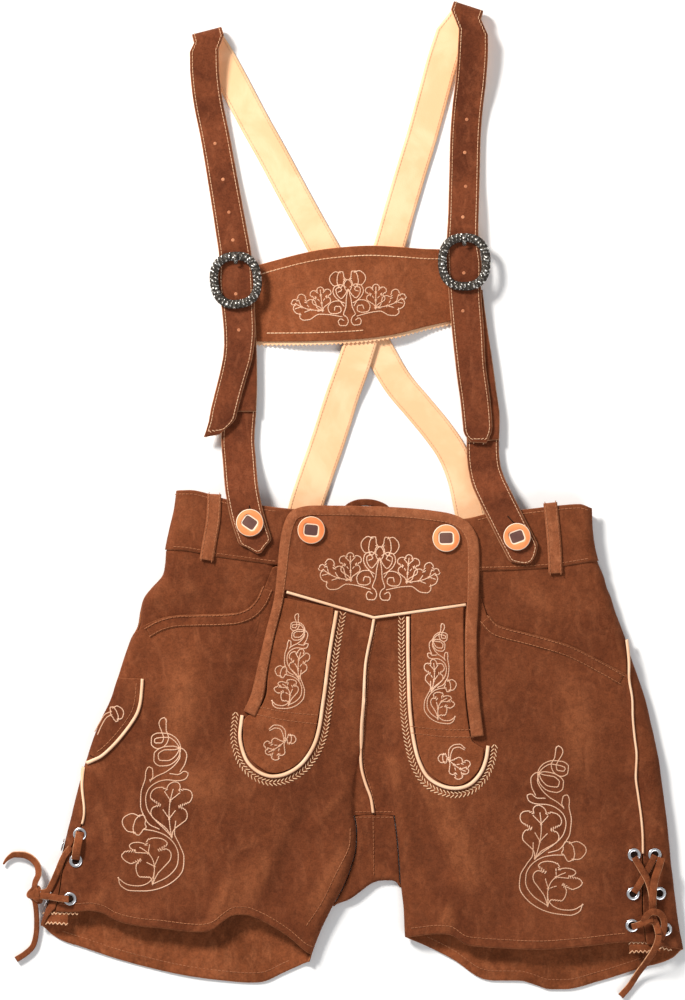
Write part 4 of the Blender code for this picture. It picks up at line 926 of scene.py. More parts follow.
# %% Hips, waistband and gusset
FACING_DEPTH = 8.0
FACING_DROP = SUEDE + 0.6
for side, end, x_inner in ((-1, "_l", -62.0), (1, "_r", 86.0)):
    grids = band_grid(side, x_inner, shifted(WAIST_SEAM, -3.0), shifted(front_top(side), FACING_DEPTH),
                      60, 46, low=-155)
    above_mouth = grids[0][..., 1] - read_curve(front_top(side), grids[0][..., 0])
    drop = 0.5 + (FACING_DROP - 0.5) * np.clip(1 - above_mouth / 16, 0, 1)**0.7
    lay_panel("hip" + end, grids, -drop, SUEDE)
    grids = band_grid(side, CENTRE_X + side * SEAM_GAP, WAIST_TOP, WAIST_SEAM, 96, 30)
    lay_panel("waistband" + end, grids, WAIST_RISE, WAIST_PLY)


def join_halves(left, right):
    """One grid from two halves that meet in the middle."""
    return tuple(np.concatenate((a, b[:, -2::-1]), axis=1) for a, b in zip(left, right))


halves = [band_grid(side, 0, shifted(WAIST_TOP, 3), WAIST_SEAM, 60, 20, back=True) for side, _ in SIDES]
lay_panel("waistband_back", join_halves(*halves), 0.0, WAIST_PLY)


def gusset_grid():
    """The gusset turns under at the crotch and comes back along the table."""
    height, reach = read_curve(HEIGHTS, -270, 4), 4.0
    top_y = CROTCH_Y - 0.3
    columns = []
    for u in np.linspace(0, 1, 30):
        def across(y):
            left, right = inner_fold(-1, y) + SEAM_GAP, inner_fold(1, y) - SEAM_GAP
            return left + (right - left) * u
        end = -295.0
        for _ in range(20):
            end = 0.5 * (end + read_curve(CROTCH, across(end)))
        column = [(across(y), y, height) for y in np.linspace(top_y, end + reach, 26)]
        for angle in np.linspace(0, math.pi, 16)[1:-1]:
            y = end + reach - reach * math.sin(angle)
            column.append((across(y), y, height / 2 * (1 + math.cos(angle))))
        column += [(across(y), y, 0.0) for y in np.linspace(end + reach, top_y, 26)]
        columns.append(column)
    grid = np.array(columns).transpose(1, 0, 2)
    return grid, ribbon_normals(grid)


lay_panel("gusset", gusset_grid(), 0.0, SUEDE)

# %% [markdown]
# ## What is sewn on the front
# The drop flap is a yoke with two long stripes below it, edged by a folded band and outlined with light
# piping. What is sewn on is made from the front's own surface, moved out by its layer, so it follows every
# crease underneath and can neither float nor sink in.

# %% Tables of the sewn-on pieces
WELT_WIDTH = 8.5
WELT_PATHS = {
    "pocket_welt_l": [(-71, -70), (-75, -79), (-82, -87), (-92, -91.5), (-106, -93), (-125, -93.5),
                      (-142, -94.5), (-152, -97.5), (-160, -102)],
    "pocket_welt_r": [(92.2, -92.6), (99, -99.8), (108, -103.2), (117, -105.4), (136, -110.4),
                      (154.3, -116.2), (176, -127), (194.5, -137.4)],
}
# Flap edge: x, y, width of the folded band.
BINDING = [(-84.5, -163, 9.5), (-79, -151, 9.5), (-75, -132, 8), (-69, -104, 7), (-62.5, -78, 7),
           (-60, -59, 7.5), (-57.5, -36, 8), (-54.8, -22.4, 8), (-50.6, -14.6, 8), (-43, -11.7, 8),
           (-32, -11.0, 7.8), (0, -11.4, 7.8), (30, -12.6, 7.8), (52, -14.8, 8), (67, -17.6, 8),
           (76.4, -22.6, 8.6), (82.5, -33, 9), (83.5, -50, 9), (83, -78, 9), (81.5, -108, 9), (82.5, -145, 9.5),
           (86.5, -180, 9.5)]
YOKE_TOP = [(-52, -16.5), (-43, -14.2), (-32, -13.2), (0, -13.6), (30, -14.8), (52, -17.4), (66, -21),
            (77, -28)]
YOKE_SIDES = [(-18, -48.5, 75), (-30, -52.5, 77.5), (-48, -55.4, 78.6), (-70, -57.5, 78.4),
              (-82, -59, 78.2)]
YOKE_POINT = [(-62, -71), (-56, -72), (9, -91), (77, -81.5), (84, -80)]
STRIPE_PIPING = {
    "_l": [(-19, -86), (-24, -115), (-29, -153), (-34, -181), (-39, -192), (-47, -202), (-58, -208.5),
           (-67, -210), (-77, -207), (-85.5, -199.5), (-90, -189), (-91.5, -179), (-90.6, -170),
           (-89.8, -164.2)],
    "_r": [(34.5, -90.3), (34.5, -115), (35, -138), (36, -161), (39, -184), (43, -199), (50, -211),
           (61, -217.5), (70, -219), (80, -216.5), (88.5, -208), (93, -197), (94.5, -187)],
}
# Stripe beside the flap's edge band: x, y down its outer side.
STRIPE_OUTER = {
    "_l": [(-58.5, -75), (-59, -80), (-65, -104), (-70.5, -132), (-71.5, -148), (-76.5, -158.5), (-84, -163.6),
           (-88.6, -168), (-89, -175), (-88.8, -183), (-87, -191), (-82.5, -198), (-76, -203.5), (-71, -206.6)],
    "_r": [(76, -81.6), (76, -90), (76.2, -108), (77, -145), (79.5, -170), (83, -184), (88, -187.5),
           (91, -190), (90, -198), (86, -207), (80.5, -212.5), (76, -215.5), (73, -216.6)],
}
STRIPE_INNER = {
    "_l": [(-21.5, -82.6), (-22, -92), (-26, -115), (-29, -138), (-31, -153), (-34, -170), (-36, -180),
           (-39, -188), (-43, -194.5), (-49, -201), (-56, -205), (-62, -207), (-66, -207.6)],
    "_r": [(37, -87.1), (37, -95), (37, -115), (37.5, -145), (39.5, -168), (41, -181), (42.5, -190),
           (45, -198), (49, -205), (54, -210.5), (60, -214.3), (65, -216.2), (69, -216.9)],
}
SIDE_PIPING_ENDS = {"_l": (-203.6, -246), "_r": (-108, -268)}
KNIFE_EDGE = [(-164.6, -137), (-165.2, -146), (-166.2, -155), (-168.4, -162.5), (-172.5, -169.5), (-178, -177),
              (-184, -184.2), (-190, -190.4), (-196, -195.4), (-201, -198)]
LOOP_PATHS = {
    "belt_loop_l": [(-110.5, 1.5), (-111.5, -18), (-114, -33), (-116.5, -48)],
    "belt_loop_r": [(141, -5), (142.5, -20), (144, -36), (145, -58)],
}
LOOP_WIDTH = 10.5
LOOP_LIFT = WAIST_RISE + LAY_GAP
YOKE_LIFT = WAIST_RISE + 0.5
STRIPE_LIFT = 0.6
YOKE_INSET = -1.8        # from the table's sides to the yoke; below 0 it reaches under the band
# What the table's edge curves leave to the small tabs behind the laced slits: left and right x, y down.
TAB_PATHS = {
    "slit_tab_l": ([(-231, -296), (-234, -306), (-238.5, -321)], [(-219, -294), (-220, -304), (-221, -322)]),
    "slit_tab_r": ([(200, -306), (200.5, -325), (201, -343)], [(222, -306), (223, -323), (224, -342)]),
}

def yoke_point(x):
    """The yoke's lower edge: two straight runs that meet in a point."""
    return np.interp(x, *np.array(YOKE_POINT).T)


# %% Flap: yoke and folded band
BAND_PLY = 2.9
YOKE_PLY = 1.8


def yoke_plan():
    shares = np.linspace(0, 1, 84)
    lines = []
    for (_, left, right), rows_of_edge in ((YOKE_SIDES[0], YOKE_TOP), (YOKE_SIDES[-1], YOKE_POINT)):
        x = left + YOKE_INSET + (right - left - 2 * YOKE_INSET) * shares
        is_point = rows_of_edge is YOKE_POINT
        y = yoke_point(x) + PIPING_WIDTH / 2 + 0.2 if is_point else read_curve(rows_of_edge, x) + 2.6
        lines.append(np.stack([x, y], 1))
    plan = between(*lines, 66).transpose(1, 0, 2)
    for row in plan[1:-1]:
        left = read_curve([r[:2] for r in YOKE_SIDES], row[0, 1]) + YOKE_INSET
        right = read_curve([(r[0], r[2]) for r in YOKE_SIDES], row[-1, 1]) - YOKE_INSET
        row[:, 0] = left + (right - left) * shares
    return plan


lay_patch("flap_yoke", yoke_plan(), YOKE_LIFT, YOKE_PLY, ("yoke", "yoke"))
lay_patch("flap_binding", strip_plan(BINDING, 8, 15, 1.6), YOKE_LIFT, BAND_PLY, ("band", "band"), 1.1)

# %% [markdown]
# Piping is a strip of thin leather folded round a cord and caught in the seam, so it shows as a thin
# round roll. Its cross-section is half an ellipse on a flat foot.

# %% Stripes and piping
PIPING_CROWN = 1.1


def lay_piping(name, path, thickness, width=PIPING_WIDTH):
    return lay_patch(name, strip_plan(path, width, 9, 1.5), STRIPE_LIFT, thickness, ("piping", "piping"),
                     PIPING_CROWN, "light_piping", 0.15)


under_yoke = [(x, yoke_point(x)) for x in (-56.5, -40, -25, -8, 6, 9, 12, 30, 45, 60, 78)]
lay_piping("piping_v", under_yoke, 2.4, 2.3)
for side, end in SIDES:
    inner, outer = smooth_path(STRIPE_INNER[end], 96), smooth_path(STRIPE_OUTER[end], 96)
    drop = np.array((0, -PIPING_WIDTH / 2 - 0.2))
    inner[0] += drop
    outer[0] += drop
    lay_patch("stripe" + end, between(outer, inner, 40), STRIPE_LIFT, SUEDE, ("upper", "upper"))
    lay_piping("piping_stripe" + end, STRIPE_PIPING[end], 1.9, 2.7)
    first, last = SIDE_PIPING_ENDS[end]
    seam = [(side_edge(side, y) - side * read_curve(SIDE_SEAM, y, half_column(side)), y)
            for y in np.linspace(first, last, 12)]
    lay_piping("piping_side" + end, seam, 1.5, 1.7)
lay_piping("piping_centre", [(read_curve(CENTRE_SEAM, y), y) for y in np.linspace(-92, -238, 14)], 1.7, 2.2)

# %% [markdown]
# A small knife pocket sits over the left side fold. Welts stiffen the pocket mouths, loops take a belt,
# and two small tabs lie behind the laced slits. Their edges are pinked: cut in teeth with zigzag shears,
# which suede wears instead of a hem.

# %% Knife pocket, welts, loops and tabs
knife_edge = smooth_path(KNIFE_EDGE, 60)
knife_inner = knife_edge + side_step(knife_edge) * -(PIPING_WIDTH / 2 + 0.2)
knife_outer = np.array([(side_edge(-1, y) + 1.4, y) for y in np.linspace(-136.5, -194, 60)])
knife_inner[-1] = knife_outer[-1] + (2.0, -0.5)
lay_patch("knife_pocket", between(knife_outer, knife_inner, 30), STRIPE_LIFT, SUEDE)
lay_piping("knife_pocket_piping", KNIFE_EDGE + [(-206, -200.5)], 1.9, 2.4)

WELT_PLY = 0.9
for name, path in WELT_PATHS.items():
    lay_patch(name, strip_plan(path, WELT_WIDTH, 13), STRIPE_LIFT - 0.75, WELT_PLY, ("suede", "suede"), 0.2)
for name, path in LOOP_PATHS.items():
    lay_patch(name, strip_plan(path, LOOP_WIDTH, 13, 1.5), LOOP_LIFT, SUEDE, ("band", "band"), 0.35)

TOOTH = 3.2      # width of one pinked tooth
TOOTH_DEPTH = 1.5


def teeth_at(along):
    """How deep the shears cut at distances along an edge."""
    return TOOTH_DEPTH * (1 - np.abs(2 * (along / TOOTH % 1) - 1))


def pinked(line):
    """A lower edge in plan with teeth cut up into it."""
    return line + np.outer(teeth_at(lengths(line)), (0, 1))


TAB_PLY = 1.1
for name, (left, right) in TAB_PATHS.items():
    plan = between(smooth_path(left, 60), smooth_path(right, 60), 60)
    hem = pinked(plan[-1])
    plan[-12:] += (hem - plan[-1])[None] * np.linspace(0, 1, 12)[:, None, None]
    lay_patch(name, plan, -(SUEDE + 0.7 + TAB_PLY), TAB_PLY, ("inside", "tab"))


# %% Hanging loop behind the waistband
BACK_LOOP_WIDTH = 5.2


def back_loop():
    path = smooth_path([(-13, -19), (-11, -9.4), (-4.5, -5.6), (3, -4.8), (11, -6), (18.5, -10), (21, -19)],
                       60)
    aside = side_step(path) * BACK_LOOP_WIDTH / 2
    plan = between(path + aside, path - aside, 9)
    crown = 0.5 * np.sqrt(1 - np.linspace(-1, 1, 9)**2)
    foot = BACK_LIFT[0][1] + WAIST_PLY + LAY_GAP
    bottom = np.concatenate((plan, np.full(plan.shape[:2] + (1,), foot)), axis=2)
    top = bottom.copy()
    top[..., 2] += 0.9 + crown
    settle(cloth("back_loop", top, bottom, ("suede", "suede"), 0.2), "brown_suede", "back_loop")


back_loop()

# %% [markdown]
# ## Straps and chest bar
# Each strap is one long ribbon: suede on the good side, light leather behind. It runs from its pointed tip
# up the front, over a round shoulder fold and down the back, where its lining shows. A ribbon needs only a
# middle line with a height, a width and a turn, so each strap is one short table.

# %% Strap tables
# Straps from the front tip up over the shoulder and down the back: x, y, height of the middle of the
# strap, width, turn of its cross direction in degrees. The shoulder fold comes between the two tables.
STRAP_FRONT = {
    "_l": [(-113, 45, 9.4, 12, 10), (-106.5, 54, 9.4, 19, 6), (-103, 66, 9.6, 20, -14),
           (-100.5, 76, 9.8, 20, -14), (-96.5, 91, 10, 20.5, -16), (-93, 106, 9.9, 22, -8),
           (-91.9, 122, 9.6, 23.5, 0), (-92.9, 140, 9.6, 24.5, 4), (-94.6, 161, 9.6, 26.6, 5),
           (-95.2, 181, 9.6, 24.4, 6), (-98.2, 200, 8.4, 23.6, 9), (-104, 234, 5.2, 22.6, 8),
           (-110.5, 271, 4.4, 22, 9), (-115.5, 296, 6.4, 22, 7), (-118, 318, 10, 22, 3),
           (-118.3, 334, 13, 22, 6)],
    "_r": [(87.5, 40, 9.4, 12, -4), (87, 50, 9.4, 22, 8), (85, 72, 9.6, 22.5, 8), (82, 94, 9.8, 22.5, 7),
           (79.5, 124, 9.8, 24, 4), (77.2, 154, 9.6, 24.5, 2), (76.6, 174, 9.6, 26.4, 1),
           (75.5, 192, 9.6, 24, 0),
           (76.2, 212, 8.2, 23, -1), (77, 240, 5, 23, 0), (78, 274, 4.4, 23, -2), (79.5, 293, 6, 23, -4),
           (81.5, 310, 9, 23, -6), (83, 330, 12, 23, -6), (83.5, 348, 13.4, 22.5, -12)],
}
# Shoulder folds: x and y of the middle of the fold line, turn of the fold line, radius.
SHOULDER = {"_l": (-116.6, 349.5, 14.5, 6.0), "_r": (80.2, 368.0, -18.0, 6.0)}
STRAP_BACK = {
    "_l": [(x, y, 1.2, 22.5, turn) for x, y, turn in (
        (-107, 330, 25), (-97, 311.5, 29), (-81.5, 282, 29), (-67, 256, 29), (-52, 228, 29), (-36, 199, 29),
        (-22, 174, 29), (-4, 140, 30), (13.5, 108, 33), (27, 85, 38), (42, 67, 40), (56, 50, 38), (67, 34, 30),
        (75, 15, 20), (80, -7, 12), (83, -24, 10), (86, -40, 10))],
    "_r": [(67, 348, 1.2, 22.5, -17), (61, 329, 1.2, 23, -17), (54.5, 305, 1.2, 23, -16),
           (50, 288, 1.2, 23, -15), (45, 270, 1.2, 23, -16), (37, 244, 1.2, 23, -16),
           (29, 217, 1.2, 23, -16), (21, 189, 2.0, 23, -16), (14.5, 170, 3.9, 23, -16),
           (8, 146, 4.3, 23.5, -17), (3, 128, 4.3, 24, -18), (-2, 112, 4.3, 24.5, -18),
           (-8, 94, 4.1, 25, -18), (-14.5, 76, 2.4, 25, -18), (-20.5, 57, 1.3, 25.5, -18),
           (-27, 37, 1.2, 25.5, -18), (-34, 17, 1.2, 25.5, -18), (-41, -4, 1.2, 25.5, -17),
           (-46, -22, 1.2, 25.5, -15), (-51, -40, 1.2, 25.5, -15)],
}
END_PLY = 1.8
# Lower straps from the tip on the waistband up to the buckle: x, y, height, width, turn.
STRAP_END = {
    "_l": [(-77, -43, 18, 3, 10), (-78.5, -38.5, 18, 13, 8), (-80.5, -32.5, 18, 25, 8),
           (-86, -15, 18, 25, 14), (-88.8, -2, 18, 25, 10), (-90, 5, 17.4, 25, 8), (-91, 14, 12.5, 25, 6),
           (-92, 26, 7.4, 25, 4), (-93.2, 42, 5.2, 25, 2), (-92, 62, 5, 25, 0), (-91, 80, 5, 24.5, 0),
           (-90.8, 100, 5, 24, 1), (-91.5, 120, 5, 24, 3), (-92.5, 144, 5, 24, 5)],
    "_r": [(124.5, -50.5, 18, 4, 15), (122.5, -46, 18, 18, 26), (120.3, -41, 18, 25, 31),
           (113.5, -28, 18, 25, 29), (107, -15, 18, 25, 26), (100, -1, 17.6, 25, 24), (95, 10, 13, 25, 18),
           (92, 21, 7.8, 24.5, 11), (90.8, 36, 5.4, 24.5, 5), (91, 58, 5, 25, 6), (88.5, 78, 5, 25, 8),
           (85.3, 102, 5, 25, 8), (82, 125, 5, 24.5, 6), (78.8, 152, 5, 24, 3)],
}
FOLDED_BACK_TO = {"_l": 63.0, "_r": 40.0}     # y where the turned-back layer of a lower strap ends
# Chest bar: x, lower edge y, upper edge y.
CHEST_BAR = [(-99, 115, 168), (-79, 116, 173.4), (-62, 116, 178), (-47, 116, 181.8), (-32, 116.3, 184.8),
             (-13, 117, 187), (6, 118.5, 188), (28, 122, 187), (45, 126.5, 185.8), (60, 130, 185.4),
             (74, 133, 184.5), (86, 136, 184)]
# Height of the bar's arch: x, height.
CHEST_ARCH = [(-99, 0.1), (-70, 1.0), (-48, 4.2), (-25, 5.9), (0, 6.2), (22, 6.2), (33, 5.6), (50, 2.4),
              (66, 0.6), (86, 0.1)]
LINING_PLY = 1.0
BAR_PLY = 1.8
LINING_PROUD = 3.4       # how far the lining shows below the bar
# Buckle rings: centre x, y, half width, half height, turn in degrees.
BUCKLES = {"_l": (-94.6, 161.8, 16.2, 18.0, 6), "_r": (76.7, 175.4, 16.4, 18.2, 0)}
RING_SECTION = (3.6, 2.3)     # half width and half height of the cast ring's section
RING_HEIGHT = 13.8
BUTTONS = {"button_flap_l": (-38, -25.5), "button_flap_r": (63, -31.5),
           "button_strap_l": (-84, -20), "button_strap_r": (116, -30.5)}
# Eyelets on the upper layer: x, y.
EYELETS = {
    "_l_front": [(-211.5, -253.5), (-214.5, -273.5), (-219, -302)],
    "_r_front": [(204, -269), (203.2, -298), (202.5, -322)],
    "_r_back": [(219.5, -269), (223, -298), (227.5, -325)],
}
EYELET_BACK_L = [-262, -282, -304]       # y of the back row on the side fold at the left
EYELET_HOLE = 5.4
# Thong routes: x, y, height of the middle.
LACES = {
    "lace_l": [(-246.2, -296.6, 9.0), (-245.2, -290, 9.0), (-242.8, -283.5, 8.6), (-243.6, -277.5, 7.6),
               (-247.8, -272.4, 6.2), (-254.0, -269.6, 4.6), (-260.4, -269.4, 3.4), (-266.2, -272.4, 2.7),
               (-269.6, -276.8, 2.5)],
    "lace_l_end": [(-246.0, -302.4, 8.8), (-245, -308, 7.4), (-244.4, -318, 4.6), (-245, -330, 2.7),
                   (-247.5, -338.5, 2.5), (-253, -344, 2.5), (-260, -348.5, 2.5)],
    "lace_r": [(222.2, -328.6, 19), (221.4, -333.6, 18.4), (218.9, -340, 16.8), (213.9, -349, 10.5),
               (207.3, -358.6, 5), (201, -368.5, 2.6), (194.5, -376, 2.5)],
    "lacing_l": [(-219.5, -302, 12), (-226, -301.5, 12), (-233, -300.5, 12), (-240.5, -299.8, 11),
                 (-246.6, -299.5, 9.4)],
    "lacing_r": [(204, -270.5, 15), (209, -279, 15), (214, -288, 15), (217.2, -300, 15), (217.4, -309, 15),
                 (217.8, -315, 15), (220.6, -321.8, 16), (222.2, -328, 19)],
}
LACE_CLEAR = 4.4         # middle of a thong above the cloth it lies on, over the eyelets

# %% Ribbons
STRAP_COLUMNS = 15


def ribbon_grid(rows):
    """Grid across a flat strap from rows of x, y, height, width and turn."""
    rows = np.array(rows, float)
    turn = np.radians(rows[:, 4])
    half = rows[:, 3:4] / 2 * np.stack([np.cos(turn), np.sin(turn), 0 * turn], 1)
    return between(rows[:, :3] - half, rows[:, :3] + half, STRAP_COLUMNS)


def shoulder_arc(end):
    """A strap round its shoulder fold, from the front layer to the back layer."""
    x, y, turn, radius = SHOULDER[end]
    turn = math.radians(turn)
    cross = np.array((math.cos(turn), math.sin(turn), 0)) * STRAP_WIDTH / 2 / math.cos(turn)
    out = np.array((-math.sin(turn), math.cos(turn), 0))
    base = np.array((x, y, 0)) - out * (radius + STRAP_PLY / 2)
    rows = []
    for angle in np.linspace(0, math.pi, 22):
        centre = base + out * radius * math.sin(angle)
        centre[2] = STRAP_PLY / 2 + radius * (1 + math.cos(angle))
        rows.append((centre - cross, centre + cross))
    return between(*np.array(rows).transpose(1, 0, 2), STRAP_COLUMNS)


def add_ribbon(name, grid, thickness, materials, slot):
    half = ribbon_normals(grid) * thickness / 2
    settle(cloth(name, grid + half, grid - half, materials, 0.35), slot, name, grid)


straps = {}
for end in ("_l", "_r"):
    front = ribbon_grid(smooth_path(STRAP_FRONT[end], 150))
    back = ribbon_grid(smooth_path(STRAP_BACK[end], 170))
    straps[end] = np.concatenate((front, shoulder_arc(end), back))
    add_ribbon("strap" + end, straps[end], STRAP_PLY, ("strap", "lining"), "strap_suede")

# %% [markdown]
# The lower straps are buttoned to the waistband, run up under the buckle and turn back on themselves. The
# turned layer lies on the first one and ends in the shadow under the upper strap.

# %% Lower straps
strap_ends = {}
for end in ("_l", "_r"):
    up = smooth_path(STRAP_END[end], 130)
    back = up[up[:, 1] > FOLDED_BACK_TO[end]][::-1].copy()
    rise = END_PLY + LAY_GAP
    fold = []
    for angle in np.linspace(0, math.pi, 12)[1:-1]:
        row = up[-1].copy()
        row[1] += (rise / 2 + 0.4) * math.sin(angle)
        row[2] += rise / 2 * (1 - math.cos(angle))
        fold.append(row)
    back[:, 2] += rise
    strap_ends[end] = ribbon_grid(np.concatenate((up, fold, back)))
    add_ribbon("strap_end" + end, strap_ends[end], END_PLY, ("strap", "strap"), "brown_suede")

# %% [markdown]
# The chest bar joins the two straps. It arches over the place where they cross behind it. Its lining is
# cut a little deeper, and a pinked edge peeps out below.

# %% Chest bar
def chest_grid(below, lift, rows=150, teeth=False):
    """Grid of the chest bar's points at a height above its arch."""
    grid, t = [], np.linspace(0, 1, 80)
    for x in np.linspace(CHEST_BAR[0][0], CHEST_BAR[-1][0], rows):
        low, high = read_curve(CHEST_BAR, x, 1) - below, read_curve(CHEST_BAR, x, 2)
        height = read_curve(CHEST_ARCH, x) + lift
        grid.append(np.stack([x + 0 * t, low + (high - low) * t, height + 0 * t], 1))
    grid = np.array(grid)
    if teeth:
        grid[:, :6, 1] += np.outer(teeth_at(grid[:, 0, 0]), np.linspace(1, 0, 6))
    return grid


BAR_FOOT = LINING_PLY + LAY_GAP
lining = [chest_grid(LINING_PROUD, lift, rows=380, teeth=True) for lift in (LINING_PLY, 0.0)]
settle(cloth("chest_bar_lining", *lining, ("lining", "lining"), 0.2), "tan_lining", "chest_bar_lining",
       lining[1])


def bar_swell(x, y, low, high):
    """Low swells where the bar is pulled by its stitches and by the buckles, and none at its edges."""
    swell = 0.35 + 0.35 * np.sin(x / 17 + y / 40) + 0.22 * np.sin(y / 11 + x / 60 + 1.0)
    return swell * np.clip((y - low) / 10, 0, 1) * np.clip((high - y) / 10, 0, 1)


bar = [chest_grid(0.0, BAR_FOOT + lift) for lift in (BAR_PLY, 0.0, 0.0)]
for side in bar[:2]:
    x, y = side[..., 0], side[..., 1]
    side[..., 2] += bar_swell(x, y, y[:, :1], y[:, -1:])
settle(cloth("chest_bar", *bar[:2], ("upper", "suede")), "brown_suede", "chest_bar", bar[2],
       rests_on=["chest_bar_lining"])

# %% [markdown]
# ## Threads
# A seam is one small shape repeated along a line, which is what Geometry Nodes are for. The tree lays
# points at an even pitch on every line, turns each one along it, sets a bowed stitch with thin ends there,
# and joins them all. Pitch, length, thickness and slant are inputs, so it sews seams, embroidery and braid.

# %% Geometry Nodes: stitches along lines
SEW_INPUTS = (("Pitch", 0.003), ("Stitch length", 0.0024), ("Thickness", 0.0006), ("Slant", 0.0),
              ("Side offset", 0.0), ("Wander", 0.05))


def make_sewing_tree():
    tree = bpy.data.node_groups.new("stitches along lines", "GeometryNodeTree")
    tree.interface.new_socket("Lines", in_out="INPUT", socket_type="NodeSocketGeometry")
    for label, default in SEW_INPUTS:
        tree.interface.new_socket(label, in_out="INPUT", socket_type="NodeSocketFloat").default_value = default
    tree.interface.new_socket("Seed", in_out="INPUT", socket_type="NodeSocketInt").default_value = 1
    tree.interface.new_socket("Thread", in_out="INPUT", socket_type="NodeSocketMaterial")
    tree.interface.new_socket("Stitches", in_out="OUTPUT", socket_type="NodeSocketGeometry")
    into, out = tree.nodes.new("NodeGroupInput").outputs, tree.nodes.new("NodeGroupOutput").inputs
    half = times(tree, into["Stitch length"], 0.5)
    radius = times(tree, into["Thickness"], 0.5)
    start, end = (first_output(tree, "ShaderNodeCombineXYZ", {"X": times(tree, half, sign),
                                                              "Z": times(tree, radius, -0.7)})
                  for sign in (-1.0, 1.0))
    top = first_output(tree, "ShaderNodeCombineXYZ", {"Z": times(tree, radius, 1.1)})
    bow = first_output(tree, "GeometryNodeCurveQuadraticBezier",
                       {"Resolution": 5, "Start": start, "Middle": top, "End": end})
    share = add_node(tree, "GeometryNodeSplineParameter").outputs["Factor"]
    swelling = combine(tree, "SINE", times(tree, share, math.pi), 0.0)
    girth = combine(tree, "ADD", times(tree, swelling, 0.5), 0.5)
    bow = first_output(tree, "GeometryNodeSetCurveRadius", {"Curve": bow, "Radius": girth})
    ring = first_output(tree, "GeometryNodeCurvePrimitiveCircle", {"Resolution": 6, "Radius": radius})
    stitch = first_output(tree, "GeometryNodeCurveToMesh", {"Curve": bow, "Profile Curve": ring,
                                                            "Fill Caps": True})
    lines = first_output(tree, "GeometryNodeMeshToCurve", {0: into["Lines"]})
    places = add_node(tree, "GeometryNodeCurveToPoints", {"Curve": lines, "Length": into["Pitch"]},
                      mode="LENGTH").outputs
    tangent = places["Tangent"]
    aside = first_output(tree, "ShaderNodeVectorMath", {0: (0, 0, 1), 1: tangent}, operation="CROSS_PRODUCT")
    aside = first_output(tree, "ShaderNodeVectorMath", {0: aside, "Scale": into["Side offset"]},
                         operation="SCALE")
    moved = first_output(tree, "GeometryNodeSetPosition", {0: places["Points"], "Offset": aside})
    yaw = first_output(tree, "FunctionNodeAlignRotationToVector", {"Vector": tangent}, axis="X",
                       pivot_axis="Z")
    turn = first_output(tree, "FunctionNodeAlignRotationToVector", {"Rotation": yaw, "Vector": tangent},
                        axis="X", pivot_axis="Y")
    placed = first_output(tree, "GeometryNodeInstanceOnPoints", {"Points": moved, "Instance": stitch,
                                                                 "Rotation": turn})
    wander = add_node(tree, "FunctionNodeRandomValue",
                      {2: times(tree, into["Wander"], -1.0), 3: into["Wander"],
                       "Seed": into["Seed"]}, data_type="FLOAT").outputs[1]
    slant = first_output(tree, "ShaderNodeCombineXYZ", {"Z": combine(tree, "ADD", into["Slant"], wander)})
    slanted = first_output(tree, "GeometryNodeRotateInstances", {0: placed, "Rotation": slant})
    joined = first_output(tree, "GeometryNodeRealizeInstances", {0: slanted})
    smooth = first_output(tree, "GeometryNodeSetShadeSmooth", {0: joined})
    finished = first_output(tree, "GeometryNodeSetMaterial", {0: smooth, "Material": into["Thread"]})
    tree.links.new(finished, out[0])
    return tree


SEWING = make_sewing_tree()
SEW_SOCKETS = {item.name: item.identifier for item in SEWING.interface.items_tree if item.in_out == "INPUT"}


def grown(guide, tree, settings):
    """Run a node tree on a guide and keep the result as a plain mesh in the guide's place."""
    modifier = guide.modifiers.new("grow", "NODES")
    modifier.node_group = tree
    for identifier, value in settings.items():
        modifier[identifier] = value
    evaluated = guide.evaluated_get(bpy.context.evaluated_depsgraph_get())
    mesh = bpy.data.meshes.new_from_object(evaluated)
    guide.modifiers.remove(modifier)
    return mesh


def sew(name, lines, thread, pitch=3.1, length=2.5, thickness=0.62, slant=0.0, aside=0.0, wander=3.0, seed=1):
    """Stitches along lines of points in millimetres, as one plain mesh."""
    points, edges = [], []
    for line in lines:
        start = len(points)
        points += (np.asarray(line) * MM).tolist()
        edges += [(start + k, start + k + 1) for k in range(len(line) - 1)]
    guide_mesh = bpy.data.meshes.new(name + "_guide")
    guide_mesh.from_pydata(points, edges, [])
    guide = bpy.data.objects.new(name, guide_mesh)
    bpy.context.collection.objects.link(guide)
    values = {"Pitch": pitch * MM, "Stitch length": length * MM, "Thickness": thickness * MM,
              "Slant": math.radians(slant), "Side offset": aside * MM, "Wander": math.radians(wander),
              "Seed": seed, "Thread": MATERIALS[thread]}
    mesh = grown(guide, SEWING, {SEW_SOCKETS[label]: value for label, value in values.items()})
    facing_out(mesh)
    guide.data = mesh
    bpy.data.meshes.remove(guide_mesh)
    settle(guide, "light_piping" if thread != "brown_thread" else "brown_suede")
    print(f"{name}: {len(mesh.polygons)} faces")


# %% [markdown]
# Seams are sewn in a brown close to the suede, so they show more as a dotted groove than as a colour. Each
# line comes from the edge it follows: a hem line runs a fixed distance above the hem, a welt has one on
# each side, and a band has one near its inner edge.

# %% Seams on the trousers
THREAD_LIFT = 0.2


def thread_on_front(path, lift):
    plan = smooth_path(path, step=1.2)
    return on_front(plan[:, 0], plan[:, 1], lift + THREAD_LIFT)


def beside(path, distance):
    """A path in plan moved to its left."""
    plan = smooth_path([row[:2] for row in path], step=1.2)
    return plan + side_step(plan) * distance


def hem_line(rows, rise, start, finish):
    x = np.linspace(start, finish, 90)
    return np.stack([x, read_curve(rows, x) + rise], 1)


